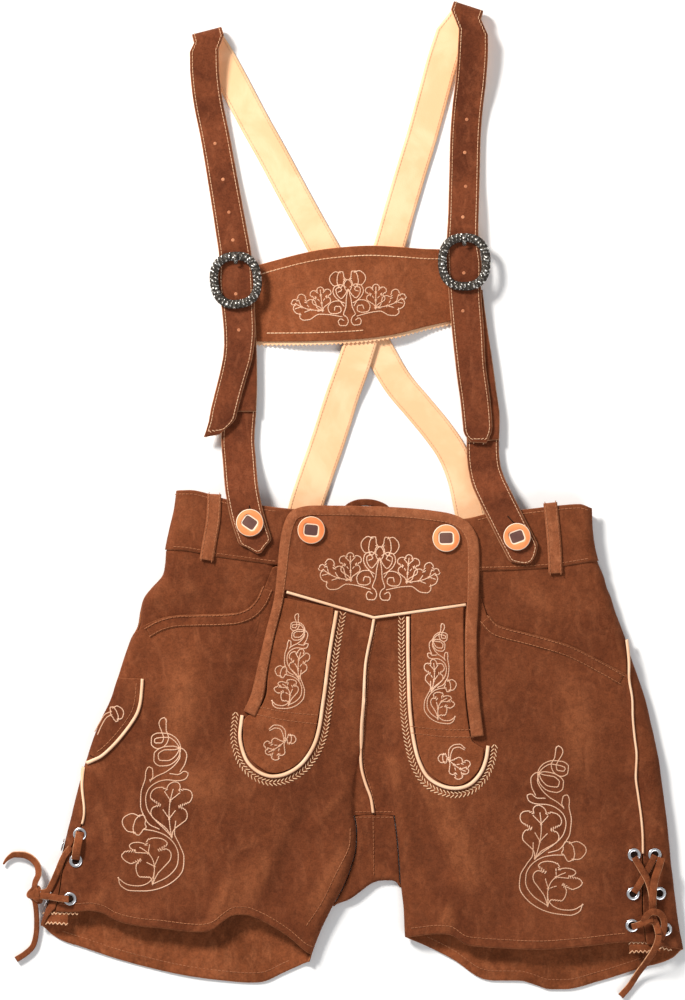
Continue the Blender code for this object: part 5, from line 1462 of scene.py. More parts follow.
seams = [thread_on_front(hem_line(FRONT_HEM_L, 6.0, -226, -38), 0),
         thread_on_front(hem_line(FRONT_HEM_R, 6.6, 38, 196), 0)]
for path in WELT_PATHS.values():
    seams += [thread_on_front(beside(path, distance), STRIPE_LIFT - 0.5 + WELT_PLY) for distance in (3.2, -3.4)]
band = smooth_path(BINDING[1:-1], step=1.2)
inner_side = band[:, :2] - side_step(band) * (band[:, 2:3] / 2 - 1.0)
seams.append(on_front(inner_side[:, 0], inner_side[:, 1], YOKE_LIFT + BAND_PLY - 0.45))
for start, finish in ((-140, -66), (88, 168)):
    x = np.linspace(start, finish, 60)
    for rows, rise in ((WAIST_SEAM, 2.6), (WAIST_TOP, -3.0)):
        seams.append(thread_on_front(np.stack([x, read_curve(rows, x) + rise], 1), WAIST_RISE))
stripe_top = STRIPE_LIFT + SUEDE
for first, last in (((-79, -157.6), (-34, -164)), ((-83.5, -162.5), (-35, -170.5)),
                    ((37.5, -172.6), (81.5, -175)), ((38, -177.5), (82.5, -180.5))):
    middle = ((first[0] + last[0]) / 2, (first[1] + last[1]) / 2 - 1)
    seams.append(thread_on_front([first, middle, last], stripe_top))
seams.append(thread_on_front([(-9, -250.5), (-9.8, -261.8), (-20.3, -284), (-31.5, -306.8), (-41, -321)], 0))
centre = [(read_curve(CENTRE_SEAM, y), y) for y in np.linspace(-97, -234, 12)]
seams.append(thread_on_front(beside(centre, 2.4), 0))
seams.append(thread_on_front(beside(KNIFE_EDGE, -4.2)[4:-6], stripe_top))
for path in LOOP_PATHS.values():
    seams += [thread_on_front(beside(path, distance), LOOP_LIFT + SUEDE - 0.15) for distance in (4.0, -4.0)]
gusset_top = read_curve(HEIGHTS, -270, 4) + THREAD_LIFT
seams.append(np.stack([np.linspace(-4, 22, 30), np.full(30, CROTCH_Y - 2.3), np.full(30, gusset_top + 0.2)], 1))
seams.append(thread_on_front(np.stack([np.linspace(-4, 24, 30), np.full(30, CROTCH_Y + 1.8)], 1), 0))
seams.append(np.array([(8.4 + 0.02 * k, CROTCH_Y - 4 - 1.5 * k, gusset_top + 0.2) for k in range(28)]))
sew("seam_threads", seams, "brown_thread", 2.9, 2.2, 0.6, seed=3)

# %% Pale edges of the pinked tabs
teeth = []
for first, last in (((-238.2, -320.8), (-221.4, -321.8)), ((-239.5, -313.6), (-213.6, -314.0)),
                    ((201.2, -342.6), (217.5, -342.4)), ((200.8, -335.6), (217, -335.8)),
                    ((224, -339.4), (232, -341.6))):
    line = pinked(np.linspace(first, last, 90))
    teeth.append(on_front(line[:, 0], line[:, 1], -(SUEDE + 0.7) + 0.3))
sew("tab_edges", teeth, "strap_thread", 0.9, 1.3, 0.75, wander=6.0, seed=12)

# %% [markdown]
# The back hems show their inner face below the front ones, so their line is sewn on the inside too.

# %% Seams on the back hems
back_lines = []
for side, rows, start, finish in ((-1, BACK_HEM_L, -224, -56), (1, BACK_HEM_R, 50, 220)):
    plan = hem_line(rows, 7.4, start, finish)
    foot = np.array([lower(side, x, y) for x, y in plan])
    back_lines.append(np.column_stack((plan, foot + SUEDE + THREAD_LIFT)))
sew("back_hem_threads", back_lines, "brown_thread", 2.9, 2.2, 0.65, seed=4)

# %% [markdown]
# The straps are sewn in cream on both sides of the ribbon, close to the edges, and round the pointed tips.

# %% Strap threads
def edge_lines(grid, thickness, inset, face=1.0):
    """Two lines along a ribbon, each an inset from its edge, on one face."""
    width = np.linalg.norm(grid[:, -1] - grid[:, 0], axis=1, keepdims=True)
    share = np.minimum(inset / width, 0.42)
    lift = ribbon_normals(grid)[:, grid.shape[1] // 2] * face * (thickness / 2 + THREAD_LIFT)
    step = (grid[:, -1] - grid[:, 0]) * share
    return [grid[:, 0] + step + lift, grid[:, -1] - step + lift]


STRAP_INSET = 2.1
strap_lines = []
for end in ("_l", "_r"):
    for grid, thickness in ((straps[end], STRAP_PLY), (strap_ends[end], END_PLY)):
        left, right = edge_lines(grid, thickness, STRAP_INSET)
        strap_lines.append(np.concatenate((right[:2:-1], left[3:])))
        if grid is straps[end]:
            strap_lines += edge_lines(grid, thickness, STRAP_INSET, -1.0)
sew("strap_threads", strap_lines, "strap_thread", 2.7, 2.05, 0.5, wander=2.0, seed=5)


def on_bar(x, y, lift=0.0):
    """Points on the chest bar's good side."""
    swell = bar_swell(x, y, read_curve(CHEST_BAR, x, 1), read_curve(CHEST_BAR, x, 2))
    return np.stack([x, y, read_curve(CHEST_ARCH, x) + BAR_FOOT + BAR_PLY + swell + lift], -1)


bar_x = np.linspace(-88, 74, 110)
bar_lines = [on_bar(bar_x, read_curve(CHEST_BAR, bar_x, 2) - 7.4, THREAD_LIFT),
             on_bar(bar_x[12:60], read_curve(CHEST_BAR, bar_x[12:60], 1) + 6.4, THREAD_LIFT)]
sew("bar_threads", bar_lines, "strap_thread", 2.9, 2.3, 0.8, seed=6)

# %% [markdown]
# The braid outside each stripe's piping is a fern stitch: short stitches that lean out to both sides of a
# line, like an ear of wheat.

# %% Braid beside the stripes
BRAID_DISTANCE = 4.9
for number, end in enumerate(("_l", "_r")):
    plan = beside(STRIPE_PIPING[end], BRAID_DISTANCE if end == "_l" else -BRAID_DISTANCE)
    line = [on_front(plan[1:, 0], plan[1:, 1], THREAD_LIFT)]
    for lean, aside in ((38.0, -1.35), (-38.0, 1.35)):
        sew(f"braid{end}_{'out' if lean > 0 else 'in'}", line, "braid_thread", 3.0, 3.1, 0.74, lean, aside, 7.0,
            7 + number)

# %% [markdown]
# ## Embroidery
# Oak leaves and acorns are the old ornament of this dress. A leaf is a formula: a rib with veins, and
# arcs for the lobes with a notch between them. An acorn is a nut with a cap. Only the stems and tendrils
# are drawn point by point: each is a smooth curve through up to 23 given points. A motif is a list
# of such parts, placed on the garment, and mirrored or made smaller where needed.

# %% Motif shapes
def stem(*points):
    return smooth_path(points, step=0.8)


def arc(centre, radius, start, finish):
    """Points of an arc; angles in degrees."""
    angle = np.radians(np.linspace(start, finish, 9))
    return np.array(centre) + radius * np.stack([np.cos(angle), np.sin(angle)], 1)


def drawn_between(base, tip):
    """The length from base to tip, and how a shape drawn along x is laid between the two."""
    base, tip = np.array(base, float), np.array(tip, float)
    length = np.linalg.norm(tip - base)
    along = (tip - base) / length
    across = np.array((-along[1], along[0]))
    return length, lambda points: base + np.outer(points[:, 0], along) + np.outer(points[:, 1], across)


def oak_leaf(base, tip, half_width, bow, depth, whole=True):
    """Lines of one oak leaf: two round lobes a side with notches of some depth, the rib and its veins."""
    length, lay = drawn_between(base, tip)

    def place(points):
        points = np.array(points, float)
        points[:, 1] += bow * length * np.sin(math.pi * np.clip(points[:, 0] / length, 0, 1))
        return lay(points)
    middles = [(0.40 * length, 0.58 * half_width), (0.72 * length, 0.72 * half_width)]
    radius = min(half_width * (0.54 - 0.2 * depth), 0.20 * length)
    edge = [np.array([(0, 0.3), (0.08 * length, 0.10 * half_width), (0.15 * length, 0.24 * half_width)])]
    for k, centre in enumerate(middles):
        edge.append(arc(centre, radius, 90 + 88 * depth - 10 * k, 90 - 94 * depth - 12 * k))
        edge.append(np.array([(centre[0] + 1.04 * radius, centre[1] - (1.7 * depth - 0.75) * radius)]))
    edge.append(arc((0.86 * length, 0), 0.26 * half_width + 0.03 * length, 112, 0))
    edge = np.concatenate(edge)
    outline = np.concatenate((edge, edge[::-1] * (1, -1))) if whole else edge
    lines = [place(outline), place(np.stack([np.linspace(0, 0.82 * length, 16), np.zeros(16)], 1))]
    for x, w in middles:
        for sign in (1, -1):
            lines.append(place([(x - 0.08 * length, 0), (x + 0.05 * length, sign * 0.52 * w)]))
    return lines


def acorn(base, tip, half_width):
    """Lines of one acorn: the nut, and the cap with the stem's end."""
    length, lay = drawn_between(base, tip)
    nut = smooth_path([(0.40, 0.9), (0.62, 1.0), (0.88, 0.62), (1.0, 0.0), (0.88, -0.62), (0.62, -1.0),
                       (0.40, -0.9)], 30)
    rim = smooth_path([(0.42, 0.92), (0.50, 0.3), (0.50, -0.3), (0.40, -0.95)], 14)
    cap = smooth_path([(0.42, 0.94), (0.22, 1.08), (0.12, 0.75), (0.06, 0.3), (-0.02, 0.05), (0.06, -0.3),
                       (0.10, -0.8), (0.24, -1.15), (0.40, -0.95)], 34)
    return [lay(line * (length, half_width)) for line in (nut, rim, cap)]


def mirrored(lines):
    return [line * (-1, 1) for line in lines]


# %% [markdown]
# The tall spray is for the legs and, smaller, for the stripes: looped tendrils on top, an oak leaf in the
# bend of a double stem, an acorn on its outer side and a second leaf in the curve of the tail.

# %% Motifs
def tall_spray():
    lines = [
        stem((8.6, 62.4), (7.2, 64.3), (4.6, 63.2), (3.2, 60.0), (5.2, 53.8), (6.6, 49.2), (4.6, 45.4),
             (0.6, 45.4), (-0.2, 47.8), (3.6, 49.4), (10.0, 49.6), (15.4, 46.4), (18.2, 41.4), (15.4, 35.6),
             (9.4, 32.2), (3.6, 32.6), (2.6, 36.4), (7.2, 40.2), (14.6, 40.4), (19.8, 41.4), (24.0, 36.4),
             (22.4, 29.4), (19.4, 24.6)),
        stem((8.6, 62.4), (8.6, 55.6), (10.4, 49.6), (7.6, 43.4), (2.0, 41.2), (-2.6, 44.8), (-2.4, 50.0),
             (2.6, 52.8), (10.2, 52.4), (16.6, 48.4), (19.4, 41.8), (17.4, 34.2), (11.2, 29.0), (4.2, 28.2),
             (-0.6, 32.2), (-0.2, 38.0), (6.0, 42.2), (13.6, 43.0), (18.4, 41.8)),
        stem((18.4, 41.8), (19.0, 36.0), (15.4, 29.4), (8.4, 23.8), (1.6, 20.6), (-3.6, 17.0), (-1.4, 20.4),
             (-1.8, 26.0), (-4.4, 27.4), (-6.4, 24.6), (-7.2, 18.4), (-10.2, 9.0), (-10.6, -1.4), (-7.8, -9.8),
             (-4.2, -15.4), (2.6, -18.8)),
        stem((12.2, 22.4), (17.4, 21.8), (22.2, 24.2), (25.0, 22.6), (23.2, 18.8), (17.0, 17.2), (9.6, 17.8),
             (2.2, 16.2), (-4.2, 11.4), (-6.8, 3.6), (-5.4, -4.4), (0.2, -12.2), (6.6, -18.4), (12.6, -24.8)),
        stem((15.6, -14.0), (14.8, -22.0), (18.4, -30.6), (21.8, -40.4), (20.6, -50.6), (13.6, -58.4),
             (3.4, -63.6), (-8.8, -65.6), (-19.8, -65.2), (-26.2, -60.8), (-27.2, -56.2)),
        stem((-27.2, -56.2), (-21.6, -60.4), (-12.8, -61.8), (-5.2, -59.6), (-1.2, -54.8), (-0.6, -51.8)),
        stem((-7.6, -19.4), (0.4, -20.8), (8.2, -24.0), (14.8, -30.4), (17.6, -38.6), (16.4, -47.0),
             (10.0, -54.4), (-1.2, -60.2)),
    ]
    lines += oak_leaf((12.6, -25.0), (16.0, 17.4), 13.5, 0.08, 0.55)
    lines += oak_leaf((-1.6, -60.0), (-17.5, -30.0), 14.5, -0.25, 0.55)
    lines += acorn((-6.8, -17.6), (-24.2, -12.4), 7.0)
    return lines


def twin_spray():
    """The wide spray of the flap and the bar: two acorns over scrolls, with two leaves to each side."""
    half = acorn((2.2, 15.8), (14.2, 17.2), 6.2)
    half += oak_leaf((21.0, -10.4), (22.2, 10.6), 7.2, 0.0, 0.6)
    half += oak_leaf((22.0, -10.2), (45.0, -0.5), 8.6, -0.10, 0.5, whole=False)
    half += [stem((21.0, -10.4), (24.0, -10.6))]
    half += [stem((2.4, 16.0), (-1.2, 14.8), (-3.0, 11.0), (-1.6, 6.4), (0.6, 5.4)),
             stem((2.4, 9.4), (6.2, 11.4), (10.6, 9.8), (12.0, 5.4), (10.2, 0.6), (6.8, -3.0), (4.4, -6.8)),
             stem((0.6, 6.2), (3.0, 2.0), (5.8, -0.6), (9.2, 3.4), (9.6, 7.4), (6.6, 9.0), (5.2, 6.6),
                  (7.2, 5.4)),
             stem((4.2, -4.4), (8.4, -2.6), (13.6, -3.6), (16.6, -8.2), (15.0, -12.8), (10.2, -13.6),
                  (6.4, -11.2), (7.2, -7.8), (10.6, -7.4), (11.4, -9.6)),
             stem((0.6, 5.2), (1.8, -1.0), (2.6, -8.4), (4.6, -14.8), (2.4, -17.0), (1.2, -20.6), (3.6, -24.4),
                  (7.6, -24.2), (9.0, -20.8), (7.2, -18.4), (5.4, -19.4)),
             stem((6.8, -16.4), (16.0, -14.2), (24.0, -13.4), (31.4, -17.4), (36.2, -17.8), (39.2, -14.8),
                  (39.0, -12.6)),
             stem((39.0, -12.6), (42.4, -10.8), (44.0, -7.0), (42.8, -4.2)),
             stem((42.8, -4.2), (45.4, -3.0), (44.6, -0.7))]
    return half + mirrored(half)


def small_sprig():
    """A leaf and an acorn on one hooked stem, for the foot of a stripe."""
    lines = oak_leaf((1.6, -0.6), (-14.5, -11.0), 7.4, 0.06, 0.45)
    lines += acorn((2.6, 0.8), (10.0, 0.2), 3.4)
    lines += [stem((-11, 9.4), (-7.5, 12), (-2.4, 11.4), (1.4, 7.4), (1.6, 2), (0.5, -1.0)),
              stem((-10.4, 8.0), (-6.6, 9.6), (-2.6, 8.6), (-0.6, 5.0), (0.2, 0.6)),
              stem((1.5, 1.2), (2.6, 0.5))]
    return lines


def knife_sprig():
    lines = acorn((-3.4, -1.0), (5.6, 2.4), 5.0)
    lines += [stem((-3.4, -1.0), (-6.0, -2.6), (-9.6, -8.4), (-12.4, -15.0)),
              stem((-3.6, 1.4), (-7.0, -0.6), (-11.0, -7.0), (-14.0, -13.0))]
    return lines


# %% [markdown]
# A motif is drawn flat and then laid on the cloth: each point takes the height of the layer that it is
# sewn on. The thread is the same stitch as in the seams, set end to end, so a line reads as a fine cord.

# %% Embroider
EMBROIDERY = (1.8, 2.0, 0.82)      # pitch, stitch length, thickness
FIRST_MOTIF_SEED = 20


def turned_by(plan, angle):
    """Points in plan turned about the origin by an angle in radians."""
    c, s = math.cos(angle), math.sin(angle)
    return plan @ np.array(((c, s), (-s, c)))


def laid(lines, centre, scale, turn, surface, lift):
    plans = [turned_by(line * scale, math.radians(turn)) + centre for line in lines]
    return [surface(plan[:, 0], plan[:, 1], lift) for plan in plans]


yoke_top = YOKE_LIFT + YOKE_PLY + 0.1
cord_on_stripe = stripe_top + 0.1
EMBROIDERED = [
    ("embroidery_leg_l", tall_spray(), (-155.2, -230.5), (1.0, 1.0), 0, on_front, 0.12),
    ("embroidery_leg_r", mirrored(tall_spray()), (145.6, -249.5), (1.0, 0.96), -8, on_front, 0.12),
    ("embroidery_stripe_l", tall_spray(), (-52.9, -123.4), (0.485, 0.548), -2, on_front, cord_on_stripe),
    ("embroidery_stripe_r", mirrored(tall_spray()), (59.8, -132.5), (0.48, 0.57), -6, on_front, cord_on_stripe),
    ("embroidery_sprig_l", small_sprig(), (-58.8, -182.6), (0.92, 0.92), 0, on_front, cord_on_stripe),
    ("embroidery_sprig_r", mirrored(small_sprig()), (66.5, -197.0), (0.92, 0.92), 0, on_front, cord_on_stripe),
    ("embroidery_flap", twin_spray(), (13.0, -53.5), (1.0, 1.0), -2, on_front, yoke_top),
    ("embroidery_bar", twin_spray(), (-10.0, 149.0), (0.95, 0.86), 3, on_bar, 0.12),
    ("embroidery_knife", knife_sprig(), (-184.5, -163.5), (1.0, 1.0), 0, on_front, cord_on_stripe),
]
for number, (name, lines, centre, scale, turn, surface, lift) in enumerate(EMBROIDERED):
    sew(name, laid(lines, centre, scale, turn, surface, lift), "cream_thread", *EMBROIDERY, wander=5.0,
        seed=FIRST_MOTIF_SEED + number)

# %% [markdown]
# ## Metal and horn
# The buckles are cast rings, a rounded octagon in outline with leaves standing up all round. A ring is a
# closed grid: once round the outline, once round the section. The leaves are bumps in that grid, in four
# rows and of random size, and their height is kept as a value on the points, for the tarnish to read.

# %% Buckles and prongs
def rounded_octagon(angle, half_width, half_height, power=2 / 2.7):
    c, s = np.cos(angle), np.sin(angle)
    shape = np.stack([np.sign(c) * np.abs(c)**power, np.sign(s) * np.abs(s)**power], -1)
    return shape * (half_width, half_height)


def ring_faces(around, across):
    """Quads of a grid that closes on itself both ways."""
    i, j = np.meshgrid(np.arange(around), np.arange(across), indexing="ij")
    after, beyond = (i + 1) % around, (j + 1) % across
    return np.stack([i * across + j, i * across + beyond, after * across + beyond, after * across + j],
                    -1).reshape(-1, 4)


def tube_faces(rows, across):
    """Faces of a tube of rings of points, with flat ends."""
    last = (rows - 1) * across
    sides = ring_faces(rows, across)[:last].tolist()
    return sides + [list(range(across))[::-1], list(range(last, rows * across))]


CAST_LEAVES = 150
LEAF_ROWS = (0.55, 1.25, 1.95, 2.6)      # where the leaves stand round the section, in radians
CAST_SEEDS = {"_l": 43, "_r": 44}
PRONG_HALF = (1.45, 0.7)                 # half width and half height of a prong
PRONG_CAST, EYELET_CAST = 0.42, 0.85     # plain parts have one height of casting all over


def cast_ring(name, x, y, half_width, half_height, turn, seed):
    around, across = 360, 44
    fine = rounded_octagon(np.linspace(0, 2 * math.pi, 4 * around + 1), half_width, half_height, 2 / 2.45)
    along = lengths(fine)
    even = np.linspace(0, along[-1], around + 1)[:-1]
    outline = np.stack([np.interp(even, along, c) for c in fine.T], 1)
    section_angle = round_angles(across)[None]
    cast = np.zeros((around, across))
    chance = np.random.default_rng(seed)
    for leaf in range(CAST_LEAVES):
        place = (leaf + chance.uniform(-0.7, 0.7)) / CAST_LEAVES * along[-1]
        centre = LEAF_ROWS[leaf % 4] + chance.uniform(-0.2, 0.2)
        slant, size = chance.uniform(-1.8, 1.8), chance.uniform(0.8, 1.7)
        side = section_angle - centre
        near = (even[:, None] - place - slant * side + along[-1] / 2) % along[-1] - along[-1] / 2
        bump = np.exp(-(near / (0.62 * size))**2) * np.exp(-(side / (0.30 * size))**2)
        cast = np.maximum(cast, bump * chance.uniform(0.4, 1.0))
    beads = 0.5 + 0.5 * np.sin(even[:, None] * 2.6 + 3 * np.sin(even[:, None] / 5))
    edges = np.exp(-((section_angle - 0.12) / 0.15)**2) + np.exp(-((section_angle - 3.02) / 0.15)**2)
    cast = np.clip(np.maximum(cast, 0.55 * edges * beads), 0, 1)
    half_w, half_h = RING_SECTION
    reach = (half_w - 0.35 + 0.35 * cast) * np.cos(section_angle)
    rise = (half_h - 0.8 + 1.25 * cast) * np.sin(section_angle)
    flat = outline[:, None] + unit(outline)[:, None] * reach[..., None]
    plan = turned_by(flat, math.radians(turn)) + (x, y)
    points = np.concatenate((plan, RING_HEIGHT + rise[..., None]), axis=2).reshape(-1, 3)
    ring = add_piece(name, points, ring_faces(around, across), ["silver"], values={"cast": cast.ravel()})
    return settle(ring, "antique_silver", name)


def add_prong(name, x, top, tip):
    """The prong hangs from the top of the ring: a bar bent round it, with a blunt end on the strap."""
    rows, across = 40, 14
    path = smooth_path([(x, top - 0.1, 13.2), (x, top - 0.4, 15.4), (x, top - 2.6, 16.9), (x, top - 5.0, 16.8),
                        (x, top - 6.4, 15.9), (x, tip + 0.3, 14.4), (x, tip, 13.4)], rows)
    up = unit(np.cross((1.0, 0, 0), np.gradient(path, axis=0)))
    t = np.linspace(0, 1, rows)[:, None, None]
    girth = np.minimum(1, np.sqrt(np.maximum(1 - ((t - 0.5) / 0.5)**10, 0.03)))
    angle = round_angles(across)[None, :, None]
    points = (path[:, None] + np.array((PRONG_HALF[0], 0, 0)) * girth * np.cos(angle)
              + up[:, None] * PRONG_HALF[1] * girth * np.sin(angle))
    prong = add_piece(name, points.reshape(-1, 3), tube_faces(rows, across), ["silver"],
                      values={"cast": np.full(rows * across, PRONG_CAST)})
    return settle(prong, "antique_silver", name)


for end, (x, y, half_width, half_height, turn) in BUCKLES.items():
    cast_ring("buckle" + end, x, y, half_width, half_height, turn, CAST_SEEDS[end])
    top = y + half_height + RING_SECTION[0] * 0.5
    add_prong("prong" + end, x, top, y + half_height - 5.8)

# %% [markdown]
# A horn button has a turned, polished ring with a pale rim, and a small square patch in a white frame at
# its middle. A grid of rings whose shape changes from a circle to a rounded square gives all of it.

# %% Buttons
def button_rings():
    """Half size, height, squareness and material number, from the foot up and in to the middle."""
    rim = BUTTON_WIDTH / 2
    return [(3.0, 0.0, 0, 1), (3.0, 0.8, 0, 1), (rim - 1.4, 0.85, 0, 1), (rim - 0.4, 1.1, 0, 1),
            (rim, 1.7, 0, 1), (rim, 2.3, 0, 1), (rim - 0.25, 2.7, 0, 1), (rim - 0.55, 2.9, 0, 1),
            (rim - 0.8, 2.85, 0, 0), (rim - 1.5, 3.0, 0, 0), (rim - 2.9, 3.2, 0.05, 0),
            (rim - 4.0, 3.1, 0.2, 0), (rim - 4.4, 2.85, 0.8, 0), (rim - 4.6, 2.75, 0.9, 1),
            (rim - 5.3, 2.85, 1, 1), (rim - 5.5, 2.6, 1, 2), (rim - 6.3, 2.75, 1, 2),
            (rim - 8.0, 2.8, 1, 2), (rim - 9.4, 2.75, 1, 2)]


def add_button(name, place, turn):
    angle, rings, points = round_angles(56), button_rings(), []
    circle = np.stack([np.cos(angle), np.sin(angle)], 1)
    square = rounded_octagon(angle, 1.0, 1.0, 2 / 5.5)
    for radius, height, squareness, _ in rings:
        shape = (circle + (square - circle) * squareness) * radius * (1, 1 - 0.2 * squareness)
        points.append(np.column_stack((turned_by(shape, turn), np.full(len(angle), height))) + place)
    slots = [ring[3] for ring in rings[1:] for _ in angle] + [1, 2]
    button = add_piece(name, np.concatenate(points), tube_faces(len(rings), len(angle)),
                       ["horn", "horn_rim", "patch"], slots)
    return settle(button, "horn", name)


PATCH_TURNS = (-0.1, 0.02, -0.6, 0.35)
for patch_turn, (name, (x, y)) in zip(PATCH_TURNS, BUTTONS.items()):
    if "flap" in name:
        seat = float(on_front(x, y, YOKE_LIFT + YOKE_PLY + 0.2)[2])
    else:
        seat = read_curve([row[1:3] for row in STRAP_END[name[-2:]]], y) + END_PLY / 2 + 0.3
    add_button(name, (x, y, seat), patch_turn)
print(len(BUTTONS), "buttons")

# %% [markdown]
# Eyelets are rolled metal rings. A small dark disc inside each ring is painted shade for the shadow in the
# hole.
# The holes punched in the straps are smaller and show the pale core of the leather.

# %% Eyelets and strap holes
MATERIALS["hole_edge"] = leather("hole_edge", (206, 138, 98), (176, 108, 72), 1500.0, 0.2)
# Near-black material for painted shade in eyelet holes and button slits
MATERIALS["hole"] = suede("painted_hole_shade", (38, 20, 12), (26, 14, 9), (52, 28, 18), (60, 34, 22))


def turned(profile, centre, normal, around=36):
    """Points and faces of a turned ring: a closed profile of radius and height, led round a normal."""
    normal = unit(np.array(normal, float))
    first = unit(np.cross(normal, (0, 1, 0) if abs(normal[1]) < 0.9 else (1, 0, 0)))
    other = np.cross(normal, first)
    angle = round_angles(around)
    circle = np.cos(angle)[:, None] * first + np.sin(angle)[:, None] * other
    profile = np.array(profile, float)
    points = np.array(centre) + profile[:, None, :1] * circle[None] + profile[:, None, 1:] * normal
    return points.reshape(-1, 3), ring_faces(len(profile), around)


def ring_profile(hole, outer, height):
    """Section of a rolled ring, as rows of radius and height."""
    angle = round_angles(14)
    middle, half = (hole + outer) / 2, (outer - hole) / 2
    return np.stack([middle + half * np.cos(angle), height / 2 + height / 2 * np.sin(angle)], 1)


def disc(centre, normal, radius):
    """Points and faces of a thin closed disc."""
    return turned([(0.01, -0.1), (radius, -0.1), (radius, 0.1), (0.01, 0.1)], centre, normal, 24)


def gather(parts):
    """One list of points and faces from several."""
    points, faces, start = [], [], 0
    for part_points, part_faces in parts:
        points.append(part_points)
        faces.append(part_faces + start)
        start += len(part_points)
    return np.concatenate(points), np.concatenate(faces)


eyelet_places = {}
for row, places in EYELETS.items():
    for i, (x, y) in enumerate(places):
        foot = on_front(x, y, 0.15)
        eyelet_places[f"eyelet{row}_{i + 1}"] = (foot, on_front(x, y, 1.15) - foot)
for i, y in enumerate(EYELET_BACK_L):
    lean = (side_edge(-1, y + 3) - side_edge(-1, y - 3)) / 6
    eyelet_places[f"eyelet_l_back_{i + 1}"] = (np.array((side_edge(-1, y) - 0.6, y, side_middle(y))),
                                               np.array((-1, lean, 0.0)))
holes = []
section_of_ring = ring_profile(EYELET_HOLE / 2 - 0.1, EYELET_WIDTH / 2 + 0.25, 1.2)
for name, (foot, normal) in eyelet_places.items():
    points, faces = turned(section_of_ring, foot, normal)
    ring = add_piece(name, points, faces, ["chrome"], values={"cast": np.full(len(points), EYELET_CAST)})
    settle(ring, "chrome", name)
    # Painted shade: a dark disc stands for the shadow in the eyelet's hole
    holes.append(disc(foot + normal * 0.12, normal, EYELET_HOLE / 2 + 0.3))
settle(add_piece("eyelet_holes", *gather(holes), ["hole"]), "brown_suede")

STRAP_HOLES = {"_l": [(-110.3, 264.8), (-104.3, 237.8), (-99.8, 213), (-96.8, 192), (-94.5, 151.5),
                      (-92.3, 124.5)],
               "_r": [(78.8, 282.8), (77.3, 258), (78, 232.5), (75.8, 209.3), (76.5, 167.3), (75.8, 138.8)]}
cores = []
for end, places in STRAP_HOLES.items():
    rows = [row[1:3] for row in STRAP_FRONT[end]]
    for x, y in places:
        z, beyond = read_curve(rows, y), read_curve(rows, y + 2)
        cores.append(disc((x, y, z + STRAP_PLY / 2 + 0.02), (0, (z - beyond) / 2, 1), 1.3))
settle(add_piece("strap_holes", *gather(cores), ["hole_edge"]), "light_piping")
slits = []
for end, (first, last) in (("_l", ((-84.2, -8.0), (-83.8, -13.0))), ("_r", ((109.5, -15.6), (113.6, -20.0)))):
    plan = np.linspace(first, last, 9)
    height = read_curve([row[1:3] for row in STRAP_END[end]], plan[:, 1])
    slits.append(np.column_stack((plan, height + END_PLY / 2 + 0.1)))
# Painted shade: the button slits are near-black stitches standing for the shadow in the cut
sew("button_slits", slits, "hole", 0.9, 1.5, 0.9, wander=0.0)
print(len(eyelet_places), "eyelets,", len(cores), "strap holes")

# %% [markdown]
# ## Laces
# The slits are closed with flat suede thongs, crossed through the eyelets and knotted, with free ends
# beside the leg. A thong is a path with a rounded flat section, twisted a little as it goes. Every route,
# the free ends' too, is worked out first.

# %% Thongs
LACE_THICKNESS = 1.8


def raised_route(points):
    """A route lifted over the cloth wherever it lies on the garment."""
    route = []
    for x, y, z in points:
        side = math.copysign(1, x)
        if (side_edge(side, y) - x) * side > 0 and y > -339:
            z = max(z, upper(side, x, y) + LACE_CLEAR)
        route.append((x, y, z))
    return route


def thong_mesh(path, width=LACE_WIDTH, thickness=LACE_THICKNESS, twist=0.0, closed=False, taper=(1, 1)):
    """Points, faces and rim values of a flat thong, with a slow twist in degrees and a taper."""
    rows, across = len(path), 16
    tangent = unit(np.roll(path, -1, 0) - np.roll(path, 1, 0) if closed else np.gradient(path, axis=0))
    flat = np.cross(tangent, (0, 0, 1.0))
    upright = np.linalg.norm(flat, axis=1) < 0.25
    flat[upright] = np.cross(tangent[upright], (0.3, 1.0, 0.2))
    flat = unit(flat)
    up = np.cross(flat, tangent)
    turn = np.radians(twist * np.sin(np.linspace(0, math.pi, rows)))[:, None]
    flat, up = flat * np.cos(turn) + up * np.sin(turn), up * np.cos(turn) - flat * np.sin(turn)
    shape = rounded_octagon(round_angles(across), width / 2, thickness / 2, 2 / 4.2)
    share = np.interp(np.linspace(0, 1, rows), np.linspace(0, 1, len(taper)), taper)[:, None, None]
    points = path[:, None] + flat[:, None] * shape[None, :, :1] * share + up[:, None] * shape[None, :, 1:]
    rim = np.tile((shape[:, 0] > width / 2 - 0.35) & (shape[:, 1] < thickness * 0.4), rows).astype(float)
    return points.reshape(-1, 3), (ring_faces if closed else tube_faces)(rows, across), rim


def add_thong(name, path, replaced=(), **shape):
    points, faces, rim = thong_mesh(path, **shape)
    piece = add_piece(name, points, faces, ["lace"], values={"rim": rim})
    return settle(piece, "lace_suede", replaced)


def knot_path(centre, half_width, half_height, direction, tilt):
    """One turn of a knot: a squashed loop round thongs that run in a direction in degrees."""
    angle, turn = round_angles(40), math.radians(direction)
    along = np.array((math.cos(turn), math.sin(turn), 0.0))
    across = np.array((-along[1], along[0], 0.0))
    return (centre + np.outer(half_width * np.cos(angle), across) + np.outer(tilt * np.sin(angle + 0.6), along)
            + np.outer(half_height * np.sin(angle), (0, 0, 1)))


ROUTE_LIFT = 1.1         # middle of a thong above the surface that its row of x, y, height counts from


def lifted(rows):
    """Points over the creased front from rows of x, y and height above it."""
    x, y, height = np.array(rows, float).T
    return on_front(x, y, height + ROUTE_LIFT)


